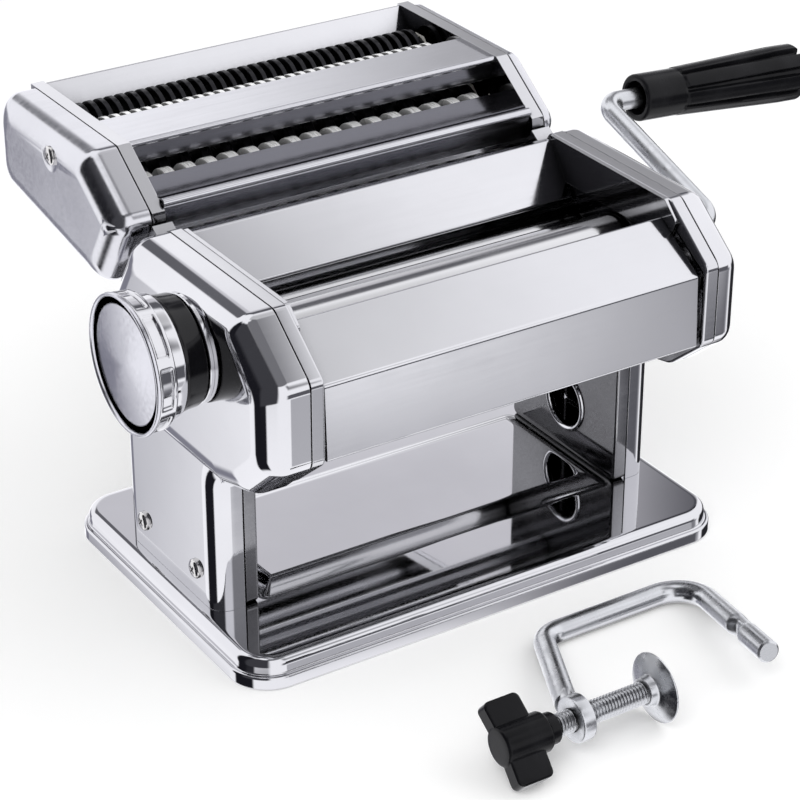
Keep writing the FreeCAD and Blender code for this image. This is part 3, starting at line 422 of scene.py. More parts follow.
@dataclass(frozen=True)
class Plated(Finish):
    """Polished or brushed metal with rubbed streaks, faint smudges, slightly wavy sheet and
    optional painted shade in gaps.
    """

    name: str
    colour: Colour = (0.62, 0.62, 0.64)
    roughness: float = 0.05
    uneven: float = 0.05
    streak: tuple[float, float, float] = (0.04, 1.0, 1.0)
    streak_scale: float = 700.0
    streak_depth: float = 0.0006
    wave_depth: float = 0.02
    edge: float = 0.25
    turned: float = 0.0
    # Reach of the painted shade in gaps, in millimetres; 0 paints none.
    painted_shade_reach: float = 0.0
    alone: bool = False
    metal: float = 1.0

    def mix(self) -> bpy.types.Material:
        """Build the node tree."""
        made = Recipe(self.name)
        shader = made.shader
        shader.inputs["Metallic"].default_value = self.metal
        dark = tuple(c * 0.93 for c in self.colour)
        tint = made.tone(dark, self.colour, made.spread(made.noise(22.0), 0.0, 1.0))
        # Painted shade: ambient occlusion darkens the colour in narrow gaps.
        if self.painted_shade_reach:
            tint = made.shade(tint, self.painted_shade_reach, self.alone)
        made.join(tint, shader.inputs["Base Color"])
        if self.turned:
            shader.inputs["Anisotropic"].default_value = self.turned
            lathe = made.node("ShaderNodeTangent", direction_type="RADIAL", axis="X")
            made.join(lathe.outputs["Tangent"], shader.inputs["Tangent"])
        streaks = made.noise(self.streak_scale, self.streak, 3.0)
        smudge = made.spread(made.noise(45.0, detail=6.0), self.roughness,
                             self.roughness + self.uneven, 0.45, 0.75)
        fine = made.spread(streaks, -0.25 * self.roughness, 0.25 * self.roughness)
        made.join(made.sum("ADD", smudge, fine), shader.inputs["Roughness"])
        waves = made.relief(made.noise(14.0, detail=1.0), self.wave_depth, self.edge)
        made.join(made.relief(streaks, self.streak_depth, self.edge, waves),
                  shader.inputs["Normal"])
        return made.material


@dataclass(frozen=True)
class Moulded(Finish):
    """Moulded plastic or rubber with a fine skin, dull patches and dust in the grain."""

    name: str
    colour: Colour = (0.004, 0.004, 0.005)
    dust: Colour = (0.012, 0.012, 0.014)
    gloss: float = 0.25
    roughness: float = 0.28
    uneven: float = 0.12
    grain: float = 1400.0
    depth: float = 0.008
    edge: float = 0.4

    def mix(self) -> bpy.types.Material:
        """Build the node tree."""
        made = Recipe(self.name)
        shader = made.shader
        shader.inputs["Specular IOR Level"].default_value = self.gloss
        patches = made.noise(60.0, detail=6.0)
        dusty = made.spread(patches, 0.0, 1.0, 0.45, 0.8)
        made.join(made.tone(self.colour, self.dust, dusty), shader.inputs["Base Color"])
        made.join(made.spread(patches, self.roughness, self.roughness + self.uneven),
                  shader.inputs["Roughness"])
        skin = made.noise(self.grain, detail=2.0)
        made.join(made.relief(skin, self.depth, self.edge), shader.inputs["Normal"])
        return made.material


# Finishes given a painted_shade_reach have painted shade: ambient occlusion darkens their colour in
# gaps.
CHROME = Plated("mirror_chrome")
TURNED_CHROME = Plated("turned_chrome", colour=(0.60, 0.60, 0.64), roughness=0.2, uneven=0.0,
                       turned=0.8, streak_depth=0.0, wave_depth=0.0)
BAND_CHROME = Plated("band_chrome", uneven=0.02, streak_depth=0.0, wave_depth=0.0, painted_shade_reach=2.2)
SHEET_CHROME = Plated("sheet_chrome", roughness=0.08, painted_shade_reach=14.0)
TRAY_CHROME = Plated("tray_chrome", colour=(0.60, 0.60, 0.62), roughness=0.03, uneven=0.03,
                     wave_depth=0.008)
SATIN_CHROME = Plated("satin_chrome", colour=(0.60, 0.60, 0.63), roughness=0.16)
# Painted shade: the long reach darkens the plates wherever other parts stand near them.
PLATE_CHROME = Plated("plate_chrome", colour=(0.58, 0.58, 0.60), roughness=0.08,
                      streak_depth=0.0, wave_depth=0.03, painted_shade_reach=130.0)
# Brushed steel whose tone is held dark as painted shade for parts inside the machine, with painted
# shade in its gaps.
SHADED_BRUSHED = Plated("brushed_plate_painted_shade", colour=(0.40, 0.40, 0.42), roughness=0.24, uneven=0.08,
                 streak_depth=0.001, painted_shade_reach=6.0)
GROUND = Plated("ground_steel", colour=(0.62, 0.62, 0.63), roughness=0.12, wave_depth=0.0,
                painted_shade_reach=16.0)
ZINC = Plated("zinc_plate", colour=(0.58, 0.59, 0.61), roughness=0.24, uneven=0.14,
              streak=(0.3, 1.0, 1.0), streak_scale=300.0, streak_depth=0.01, wave_depth=0.01,
              painted_shade_reach=5.0)
# Light alloy, raised near white and partly diffuse as a painted highlight for the lit disc tops,
# with painted shade in its own gaps.
LIT_CUTTER_ALLOY = Plated("cutter_alloy", colour=(0.95, 0.95, 0.95), roughness=0.26, uneven=0.06,
                      wave_depth=0.0, streak=(1.0, 0.1, 0.1), streak_depth=0.002, painted_shade_reach=6.0,
                      alone=True, metal=0.35)
# The same alloy painted near black: painted shade for the rear cutting rolls.
SHADED_CUTTER_ALLOY = Plated("shaded_cutter_alloy", colour=(0.03, 0.03, 0.033), roughness=0.3, uneven=0.06,
                    wave_depth=0.0, streak=(1.0, 0.1, 0.1), streak_depth=0.002, painted_shade_reach=6.0,
                    alone=True)
# Near-black plate colour: painted shade laid over the front rail's slope.
PAINTED_SHADE_PLATE = Plated("painted_shade_plate", colour=(0.20, 0.20, 0.22), roughness=0.12)
NICKEL = Plated("nickel_screw", colour=(0.62, 0.61, 0.60), roughness=0.14, uneven=0.08,
                wave_depth=0.0)
BLACK_PLASTIC = Moulded("black_plastic", gloss=0.13, roughness=0.18)
GLOSS_SLEEVE = Moulded("gloss_sleeve", roughness=0.08, uneven=0.06, depth=0.002)
RUBBER = Moulded("foot_rubber", colour=(0.02, 0.02, 0.02), dust=(0.06, 0.06, 0.06),
                 roughness=0.6, depth=0.03)
ACETAL = Moulded("white_acetal", colour=(0.78, 0.77, 0.73), dust=(0.62, 0.61, 0.58),
                 roughness=0.4, depth=0.01)


# Meshes
class Shape:
    """Mesh of one piece in progress, in millimetres of the model frame."""

    def __init__(self) -> None:
        """Start with no points."""
        self.points: list[Vector] = []
        self.faces: list[tuple[int, ...]] = []

    def ring(self, points: Sequence[Vector]) -> list[int]:
        """Add a ring of points and give their numbers."""
        start = len(self.points)
        self.points.extend(points)
        return list(range(start, len(self.points)))

    def bridge(self, near: Sequence[int], far: Sequence[int]) -> None:
        """Join two closed rings of equal length."""
        count = len(near)
        for i in range(count):
            j = (i + 1) % count
            self.faces.append((near[i], near[j], far[j], far[i]))

    def cap(self, ring: Sequence[int]) -> None:
        """Close a flat ring."""
        loop = [self.points[i] for i in ring]
        for corner in tessellate_polygon([loop]):
            self.faces.append(tuple(ring[k] for k in corner))

    def skin(self, rings: Sequence[Sequence[Vector]], closed: bool = False) -> "Shape":
        """Closed surface over a row of rings.

        Args:
            rings: Rings of equal length.
            closed: True when the last ring joins the first, so that there are no caps.

        Returns:
            The shape itself.
        """
        marks = [self.ring(points) for points in rings]
        for near, far in zip(marks, marks[1:]):
            self.bridge(near, far)
        if closed:
            self.bridge(marks[-1], marks[0])
        else:
            self.cap(marks[0])
            self.cap(marks[-1])
        return self

    def push(self, section: Sequence[Flat], x0: float, x1: float) -> "Shape":
        """Side sketch outline pushed from x0 to x1."""
        return self.skin([[spot(x, y, z) for y, z in section] for x in (x0, x1)])

    def turn(self, profile: Sequence[Flat], place: Matrix, sides: int = 64,
             closed: bool = False, wave: Optional[Wave] = None) -> "Shape":
        """Surface of revolution about the X axis of a placed frame.

        Args:
            profile: Points as (along the axis, radius).
            place: Frame that puts the axis in the model.
            sides: Number of points round the axis.
            closed: True for a ring whose profile is a closed loop.
            wave: Radius from (angle, along, radius), for flutes and ribs.

        Returns:
            The shape itself.
        """
        rings = []
        for along, radius in profile:
            ring = []
            for i in range(sides):
                angle = TURN * i / sides
                reach = radius if wave is None else wave(angle, along, radius)
                ring.append(place @ Vector((along, reach * math.cos(angle),
                                            reach * math.sin(angle))))
            rings.append(ring)
        return self.skin(rings, closed)

    def sweep(self, path: Sequence[Vector], radius: float, sides: int = 40,
              press: Optional[Callable[[Vector, Vector], Vector]] = None) -> "Shape":
        """Round bar along a path.

        Args:
            path: Points of the centre line.
            radius: Radius of the bar in millimetres.
            sides: Number of points round the bar.
            press: New place of a surface point from (point, centre), for flats.

        Returns:
            The shape itself.
        """
        rings = []
        ahead = (path[1] - path[0]).normalized()
        side = ahead.cross(Vector((0.1, 0.3, 1.0))).normalized()
        for i, here in enumerate(path):
            back = (here - path[i - 1]).normalized() if i else ahead
            front = (path[i + 1] - here).normalized() if i < len(path) - 1 else back
            lead = (back + front).normalized()
            side = ahead.rotation_difference(lead) @ side
            side = (side - lead * side.dot(lead)).normalized()
            ahead = lead
            ring = []
            for k in range(sides):
                point = here + Matrix.Rotation(TURN * k / sides, 3, lead) @ (side * radius)
                ring.append(press(point, here) if press else point)
            rings.append(ring)
        return self.skin(rings)

    def block(self, low: Vector, high: Vector) -> "Shape":
        """Small square piece between two corners."""
        section = [(low.x, low.y), (high.x, low.y), (high.x, high.y), (low.x, high.y)]
        return self.skin([[Vector((x, y, z)) for x, y in section] for z in (low.z, high.z)])

    def mesh(self, name: str) -> bpy.types.Mesh:
        """Blender mesh in metres with outward faces."""
        mesh = bpy.data.meshes.new(name)
        mesh.from_pydata([point * MM for point in self.points], [], self.faces)
        work = bmesh.new()
        work.from_mesh(mesh)
        bmesh.ops.remove_doubles(work, verts=work.verts, dist=SAME_POINT)
        bmesh.ops.recalc_face_normals(work, faces=work.faces)
        work.to_mesh(mesh)
        work.free()
        return mesh

    def build(self, name: str, finish: Finish, crease: float = 32.0,
              cuts: Sequence["Shape"] = ()) -> bpy.types.Object:
        """Finished piece in the scene.

        Args:
            name: Name of the piece.
            finish: Finish of its surface.
            crease: Angle in degrees above which an edge stays sharp.
            cuts: Shapes that are cut out of it.

        Returns:
            The new object.
        """
        piece = bpy.data.objects.new(name, self.mesh(name))
        bpy.context.scene.collection.objects.link(piece)
        if cuts:
            carve(piece, cuts)
        for polygon in piece.data.polygons:
            polygon.use_smooth = True
        piece.data.set_sharp_from_angle(angle=math.radians(crease))
        piece.data.materials.clear()
        piece.data.materials.append(finish.material())
        weights = piece.modifiers.new("weights", "WEIGHTED_NORMAL")
        weights.keep_sharp = True
        return piece


def carve(piece: bpy.types.Object, cuts: Sequence[Shape]) -> None:
    """Cut shapes out of a piece for good."""
    tools = []
    for number, shape in enumerate(cuts):
        tool = bpy.data.objects.new(f"{piece.name}_cut{number}", shape.mesh("cut"))
        bpy.context.scene.collection.objects.link(tool)
        step = piece.modifiers.new("cut", "BOOLEAN")
        step.operation = "DIFFERENCE"
        step.solver = "EXACT"
        step.use_self = True
        step.object = tool
        tools.append(tool)
    bpy.context.view_layer.update()
    graph = bpy.context.evaluated_depsgraph_get()
    cut = bpy.data.meshes.new_from_object(piece.evaluated_get(graph))
    piece.modifiers.clear()
    piece.data = cut
    for tool in tools:
        bpy.data.objects.remove(tool)


def across(y: float, z: float, x: float = 0.0, side: Side = Side.RIGHT) -> Matrix:
    """Frame at a side sketch position whose axis points to an end of the machine."""
    place = Matrix.Translation(spot(x, y, z))
    if side is Side.LEFT:
        place = place @ Matrix.Scale(-1.0, 4, Vector((1, 0, 0)))
    return place


def off(start: float, *pairs: Flat) -> list[Flat]:
    """Profile points whose first number is counted from a start."""
    return [(start + step, radius) for step, radius in pairs]


def bore(centre: Flat, x: float, radius: float, half: float, sides: int) -> Shape:
    """Round hole to be cut along X, centred on a side sketch position and an x position."""
    return Shape().turn([(-half, radius), (half, radius)], across(*centre, x), sides)


def sheet(path: Sequence[Flat], thickness: float, side: int, half: float) -> Shape:
    """Bent sheet that reaches from -half to half along X."""
    return Shape().push(strip(path, thickness, side), -half, half)


def pan(shape: Shape, corners: Sequence[Corner], rim: float, face: float, wall: float,
        fillet: float, side: Side, rows: int = 8, flow: float = 2.5) -> Shape:
    """Closed sheet metal pan whose open edge is at the rim and whose flat is at the face.

    Args:
        shape: Shape that takes the pan.
        corners: Side outline of the pan.
        rim: Distance of the open edge from the middle of the machine.
        face: Distance of the flat.
        wall: Sheet thickness.
        fillet: Outer radius of the pressed edge.
        side: End of the machine.
        rows: Straight pieces over the pressed edge.
        flow: Smallest corner radius of the flat, which lets the pressed edge flow round a corner.

    Returns:
        The shape itself.
    """
    way = 1.0 if face > rim else -1.0

    def rings(inset: float, flat: float, radius: float) -> list[list[Vector]]:
        stations = [(rim, inset)]
        for k in range(rows + 1):
            angle = math.pi / 2 * k / rows
            stations.append((flat - way * radius * (1 - math.sin(angle)),
                             inset + radius * (1 - math.cos(angle))))
        stations.append((flat, inset + radius + FLAT_MARGIN))
        return [[spot(side.x(x), y, z) for y, z in level(corners, drawn, CORNER_STEPS, flow)]
                for x, drawn in stations]

    inner = rings(wall, face - way * wall, max(0.2, fillet - wall))
    return shape.skin(inner[::-1] + rings(0.0, face, fillet))


class Assembly:
    """Group of pieces that are made and dressed together."""

    def dress(self, finish: Finish, *nodes: str) -> None:
        """Give carried-over solids a finish."""
        for name in nodes:
            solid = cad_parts[name]
            if not solid.material_slots:
                solid.data.materials.append(finish.material())
            for place in solid.material_slots:
                place.material = finish.material()
            log.info("dressed %s as %s", name, finish.name)

    def place(self, piece: bpy.types.Object, body: str, node: str) -> bpy.types.Object:
        """Put a new piece on its body in place of a solid."""
        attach(piece, body)
        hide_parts(node)
        log.info("made %s on %s", piece.name, body)
        return piece


# Outlines shared by plates and covers, as (y, z, radius) in the side sketch
BODY_OUTLINE = ((47.5, 125.2, 4.0), (-24.1, 125.2, 4.0), (-46.7, 107.6, 4.0), (-46.6, 77.7, 5.0),
                (-29.0, 63.0, 9.0), (0.0, 57.0, 9.0), (0.0, 0.0, 0.6), (66.0, 0.0, 0.6),
                (66.0, 96.0, 5.0))
HEAD_OUTLINE = (*BODY_OUTLINE[:4], (-29.0, 62.0, 9.0), (-12.0, 57.5, 9.0), (66.0, 57.5, 5.0),
                BODY_OUTLINE[8])
LEG_OUTLINE = ((65.9, 0.0, 0.6), (65.9, 66.0, 3.0), (-14.0, 66.0, 1.5), (-14.0, 61.5, 1.5),
               (0.0, 57.0, 11.0), (0.0, 0.0, 0.6))
CUTTER_OUTLINE = ((150.8, 143.4, 5.0), (82.4, 143.3, 6.0), (58.4, 126.7, 5.0),
                  (57.6, 121.45, 3.0), (73.6, 96.1, 6.0), (150.8, 108.5, 8.0))
DRIVE_AXIS = (4.6, 94.8)
KNOB_AXIS = (4.6, 103.4)
PAIR_TILT = -18.0
ROLLER_R = 14.0
REAR_AXIS = polar(DRIVE_AXIS, 28.24, PAIR_TILT)
PLATE_IN = 76.6
PLATE_OUT = 81.6
COVER_IN = 82.1
LEFT_COVER_OUT = 98.5
LEFT_LEG_OUT = 93.5
RIGHT_COVER_OUT = 92.5
LEFT_CUTTER_OUT = 96.6
RIGHT_CUTTER_OUT = 87.2
WIDE_FRONT = (83.6, 120.2)
WIDE_REAR = (100.1, 120.2)
FINE_FRONT = (118.0, 128.8)
FINE_REAR = (134.5, 128.8)


def pan_head(shape: Shape, at: Flat, face: float, side: Side, rise: float = 1.8) -> list[Shape]:
    """Cross-recessed pan head on a cover.

    Args:
        shape: Shape that takes the head.
        at: Sketch position.
        face: Distance of the head's foot from the middle of the machine.
        side: End of the machine.
        rise: Height of the head.

    Returns:
        The two crossed tapered slots to cut out of it.
    """
    radius = 3.6
    profile = [(-0.5, radius), (rise * 0.35, radius)]
    for k in range(1, 7):
        turn = math.pi / 2 * k / 6
        profile.append((rise * (0.35 + 0.65 * math.sin(turn)),
                        radius * (0.42 + 0.58 * math.cos(turn))))
    shape.turn(profile, across(*at, side.x(face), side), 48)
    top = face + rise
    slots = []
    for turn in (38.0, 128.0):
        along = polar((0, 0), 1.0, turn)
        over = polar((0, 0), 1.0, turn + 90.0)
        rings = []
        for x, grow in ((top - 1.0, 0.45), (top + 0.6, 1.15)):
            reach, half = 1.9 * grow, 0.42 * grow
            rings.append([spot(side.x(x), at[0] + along[0] * a * reach + over[0] * b * half,
                               at[1] + along[1] * a * reach + over[1] * b * half)
                          for a, b in ((-1, -1), (1, -1), (1, 1), (-1, 1))])
        slots.append(Shape().skin(rings))
    return slots


@dataclass
class BaseTray(Assembly):
    """Pressed base tray with its stepped rim, raised field, feet and screws."""

    front: float = -36.9
    rear: float = 98.9
    half: float = 101.0
    corner: float = 15.0
    lip_z: float = -10.5
    ledge_z: float = -6.0
    shoulder: float = 3.2
    field: tuple[float, float, float, float] = (-74.5, 74.5, 0.5, 64.5)
    field_rise: float = 3.6
    field_run: float = 6.4
    notch: Corner = (30.0, -6.5, 4.4)
    sheet: float = 1.0

    def rim(self, drawn: float, z: float) -> list[Vector]:
        """Ring of the rim, drawn in from the outer edge."""
        half = self.half
        corners = [(-half, self.front, self.corner), (half, self.front, self.corner),
                   (half, self.rear, self.corner), (-half, self.rear, self.corner)]
        return [spot(x, y, z) for x, y in level(corners, drawn, 14, 2.0)]

    def raised(self, drawn: float, z: float) -> list[Vector]:
        """Ring of the raised field."""
        x0, x1, y0, y1 = self.field
        corners = [(x0, y0, 3.0), (x1, y0, 3.0), (x1, y1, 3.0), (x0, y1, 3.0)]
        return [spot(x, y, z) for x, y in level(corners, drawn, 14, 0.4)]

    def skin(self, inset: float, drop: float) -> list[list[Vector]]:
        """Rings of one face of the sheet, from the lip to the middle of the raised field."""
        rings = [self.rim(inset, self.lip_z), self.rim(inset, self.ledge_z - 0.9 - drop)]
        for y, z in arc((0.9, self.ledge_z - 0.9), (0.0, self.ledge_z - 0.9), -math.pi / 2, 5)[1:]:
            rings.append(self.rim(inset + y, z - drop))
        for y, z in arc((1.3, self.ledge_z + 0.5), (1.3, self.ledge_z), math.pi / 2, 4):
            rings.append(self.rim(inset + y, z - drop))
        rings.append(self.rim(inset + 1.95, -self.shoulder - drop))
        bend = arc((1.95 + self.shoulder, -self.shoulder), (1.95, -self.shoulder), -math.pi / 2, 9)
        for y, z in bend[1:]:
            rings.append(self.rim(inset + y, z - drop))
        rings.append(self.rim(inset + self.shoulder + 2.6, -drop))
        run, rise = self.field_run, self.field_rise
        slope = ((-1.3, 0.0), (-0.6, 0.02), (0.0, 0.12), (0.5, 0.35), (run - 0.5, rise - 0.35),
                 (run, rise - 0.12), (run + 0.6, rise - 0.02), (run + 1.3, rise), (run + 2.2, rise))
        for y, z in slope:
            rings.append(self.raised(y + inset * 0.5, z - drop))
        return rings

    def build(self) -> None:
        """Make the tray and dress the feet and screws."""
        shape = Shape()
        shape.skin(self.skin(self.sheet, self.sheet)[::-1] + self.skin(0.0, 0.0))
        x, z, radius = self.notch
        seat = Matrix.Translation(spot(x, self.rear - 6, z)) @ Matrix.Rotation(math.pi / 2, 4, "Z")
        notch = Shape().turn([(-1.0, radius), (8.0, radius)], seat, 40)
        mouth = Shape().block(spot(x - radius, self.rear - 7, -12),
                              spot(x + radius, self.rear + 2, z))
        tray = shape.build("tray_pressing", TRAY_CHROME, cuts=[notch, mouth])
        self.place(tray, "machine", "base_tray")
        self.dress(RUBBER, "rubber_feet")
        self.dress(NICKEL, "base_screws")


@dataclass
class EndPlates(Assembly):
    """Bearing plates on the tray, each with a folded rim and a rolled hole in the leg."""

    sheet: float = 1.5
    leg_hole: Flat = (32.0, 20.5)
    leg_hole_r: float = 10.0
    drive_hole_r: float = 8.0
    rear_hole_r: float = 9.0
    guard_in: float = 75.4
    guard: tuple[Corner, ...] = ((45.5, 125.2, 1.5), (-23.0, 125.2, 1.5), (-30.0, 119.0, 2.0),
                                 (-26.0, 110.3, 3.0), (44.0, 110.3, 3.0), (51.5, 113.2, 2.0),
                                 (46.6, 121.0, 2.0))

    def plate(self, side: Side) -> bpy.types.Object:
        """Make one plate."""
        shape = pan(Shape(), BODY_OUTLINE, PLATE_OUT, PLATE_IN, self.sheet, 0.9, side, 4)
        shape.push(level(self.guard), side.x(self.guard_in), side.x(PLATE_IN + 0.5))
        cuts = [bore(self.leg_hole, side.x(77.0), self.leg_hole_r, 3, 64),
                bore(DRIVE_AXIS, side.x(77.8), self.drive_hole_r, 3, 48),
                bore(REAR_AXIS, side.x(77.8), self.rear_hole_r, 3, 48)]
        return shape.build(f"end_plate_{side.name.lower()}", PLATE_CHROME, cuts=cuts)

    def hole_rim(self, side: Side) -> bpy.types.Object:
        """Rolled rim of the hole in the leg."""
        reach = self.leg_hole_r
        loop = [(78.3, reach + 0.02), (76.6, reach), (75.9, reach + 0.25), (75.55, reach + 0.8),
                (75.6, reach + 1.4), (76.0, reach + 1.8), (76.65, reach + 1.9), (76.9, reach + 0.9)]
        shape = Shape().turn(loop, across(*self.leg_hole, 0.0, side), 72, closed=True)
        return shape.build(f"hole_rim_{side.name.lower()}", CHROME, crease=50)

    def build(self) -> None:
        """Make both plates with their hole rims, and dress the rods between them."""
        for side in Side:
            node = f"frame_plate_{side.name.lower()}"
            self.place(self.plate(side), "machine", node)
            self.place(self.hole_rim(side), "machine", node)
        self.dress(SHADED_BRUSHED, "tie_rods", "cutter_rails")
        self.dress(NICKEL, "tie_nuts")


@dataclass
class SideCovers(Assembly):
    """Pressed shells over the gears and the crank socket."""

    sheet: float = 1.0
    fillet: float = 7.0
    head_fillet: float = 9.5
    screws: tuple[Flat, ...] = ((14.0, 12.0), (52.0, 12.0))
    flow: float = 6.5
    foot: float = 16.0
    crank_hole_r: float = 9.0

    def sunk(self, corners: Sequence[Corner]) -> list[Corner]:
        """Outline whose foot is carried on under the tray, where it is cut off."""
        return [(y, -self.foot, 4.0) if z == 0.0 else (y, z, r) for y, z, r in corners]

    def foot_cut(self, side: Side) -> Shape:
        """Block that cuts a shell off at the tray."""
        a, b = sorted((side.x(COVER_IN - 3), side.x(LEFT_COVER_OUT + 3)))
        return Shape().block(spot(a, -40.0, -self.foot - 5), spot(b, 90.0, 0.05))

    def left(self) -> bpy.types.Object:
        """Deep shell on the knob side, with the leg a step further in."""
        side = Side.LEFT
        shape = pan(Shape(), self.sunk(LEG_OUTLINE), COVER_IN + 0.1, LEFT_LEG_OUT, self.sheet,
                    self.fillet, side)
        pan(shape, HEAD_OUTLINE, COVER_IN, LEFT_COVER_OUT, self.sheet, self.head_fillet, side,
            10, self.flow)
        return shape.build("cover_shell_left", CHROME, crease=40, cuts=[self.foot_cut(side)])

    def right(self) -> bpy.types.Object:
        """Shell on the crank side."""
        side = Side.RIGHT
        shape = pan(Shape(), self.sunk(BODY_OUTLINE), COVER_IN, RIGHT_COVER_OUT, self.sheet,
                    self.fillet, side, 8, self.flow)
        hole = bore(DRIVE_AXIS, RIGHT_COVER_OUT, self.crank_hole_r, 5, 64)
        return shape.build("cover_shell_right", CHROME, crease=40,
                           cuts=[hole, self.foot_cut(side)])

    def fasteners(self) -> bpy.types.Object:
        """Pan head screws low on the legs."""
        shape = Shape()
        slots: list[Shape] = []
        for at in self.screws:
            slots += pan_head(shape, at, LEFT_LEG_OUT, Side.LEFT)
            slots += pan_head(shape, at, RIGHT_COVER_OUT, Side.RIGHT)
        return shape.build("leg_screws", NICKEL, cuts=slots)

    def collar(self) -> bpy.types.Object:
        """Flanged ring in the crank hole."""
        loop = off(RIGHT_COVER_OUT, (-3.0, 6.45), (-3.0, 8.95), (0.02, 8.95), (0.02, 11.5),
                   (0.9, 11.5), (1.25, 11.2), (1.4, 10.7), (1.4, 7.2), (1.1, 6.65), (0.7, 6.45))
        shape = Shape().turn(loop, across(*DRIVE_AXIS), 72, closed=True)
        return shape.build("crank_hole_collar", NICKEL)

    def build(self) -> None:
        """Make the shells, screws and collar."""
        self.place(self.left(), "machine", "side_cover_left")
        self.place(self.right(), "machine", "side_cover_right")
        self.place(self.fasteners(), "machine", "cover_screws")
        self.place(self.collar(), "machine", "socket_collar")


@dataclass
class BodySkins(Assembly):
    """Sheets between the end plates: front hood, feed plate, rear apron and scraper."""

    thickness: float = 1.0
    half: float = 75.2
    feed_half: float = 75.4
    bead_r: float = 1.3

    def hood(self) -> bpy.types.Object:
        """Front hood with a rolled top edge, one bend and a hem."""
        top, fold, foot = (-22.6, 117.6), (-43.9, 104.2), (-45.2, 78.0)
        up = unit(fold, top)
        down = unit(fold, foot)
        roll = curl(top, up, self.bead_r, 320, -1)
        hem = curl(foot, down, 1.1, 180, 1, 10)
        hem.append((hem[-1][0] - down[0] * 4.0, hem[-1][1] - down[1] * 4.0))
        path = roll[::-1] + bent([top, fold, foot], [2.2]) + hem
        shape = sheet(path, self.thickness * 0.9, 1, self.half)
        for y, z in ((-44.0, 84.0), (-43.0, 98.0)):
            for side in Side:
                a, b = sorted((side.x(self.half - 1), side.x(PLATE_IN)))
                shape.block(spot(a, y, z), spot(b, y + 1.5, z + 5.0))
        return shape.build("hood_sheet", SHEET_CHROME)

    def feed(self) -> bpy.types.Object:
        """Sloped plate behind the rolls with a rolled lower edge."""
        back, top, foot = (48.25, 122.6), (44.5, 123.5), (31.6, 106.2)
        down = unit(top, foot)
        path = bent([back, top, foot], [0.9]) + curl(foot, down, 1.5, 320, 1)
        shape = sheet(path, self.thickness * 0.9, 1, self.feed_half)
        return shape.build("feed_sheet", SHEET_CHROME)

    def apron(self) -> bpy.types.Object:
        """Skin along the rear slant and down the back."""
        path = bent([(48.6, 120.6), (63.6, 95.6), (63.6, 71.0), (60.6, 69.5)], [2.0, 1.2])
        return sheet(path, self.thickness, -1, PLATE_IN).build("apron_sheet", SHEET_CHROME)

    def build(self) -> None:
        """Make the sheets."""
        self.place(self.hood(), "machine", "front_hood")
        self.place(self.feed(), "machine", "feed_plate")
        self.place(self.apron(), "machine", "rear_apron")
        self.dress(SHADED_BRUSHED, "front_scraper", "rear_scraper")


@dataclass
class RollingPair(Assembly):
    """Smooth rolls with their gears, bushes and carriers."""

    half: float = 76.0
    journal_r: float = 6.0
    drive_end: float = RIGHT_COVER_OUT - 0.4
    socket_r: float = 4.05

    def barrel(self) -> list[Flat]:
        """Profile of the smooth barrel with broken edges."""
        half = self.half
        edge = ((0.0, ROLLER_R - 0.5), (0.12, ROLLER_R - 0.15), (0.5, ROLLER_R), (2, ROLLER_R))
        left = [(-half + step, radius) for step, radius in edge]
        right = [(half - step, radius) for step, radius in edge[::-1]]
        return [(-82.5, self.journal_r), (-half, self.journal_r), *left, *right,
                (half, self.journal_r)]

    def build(self) -> None:
        """Make the rolls and dress what carries them."""
        end = self.drive_end
        grip = self.socket_r
        profile = self.barrel() + [(end - 0.4, self.journal_r), (end, self.journal_r - 0.4),
                                   (end, grip + 0.4), (end - 0.4, grip), (end - 14, grip)]
        shape = Shape().turn(profile, across(*DRIVE_AXIS), 128)
        self.place(shape.build("drive_roll", GROUND), "drive", "drive_roller")
        shape = Shape().turn(self.barrel() + [(PLATE_OUT, self.journal_r)], across(*REAR_AXIS), 128)
        self.place(shape.build("rear_roll_barrel", GROUND), "rear_roll", "rear_roller")
        self.dress(GROUND, "drive_gear", "rear_gear")
        self.dress(SHADED_BRUSHED, "carrier_left", "carrier_right", "carrier_bars")
        self.dress(ACETAL, "roller_bushes")


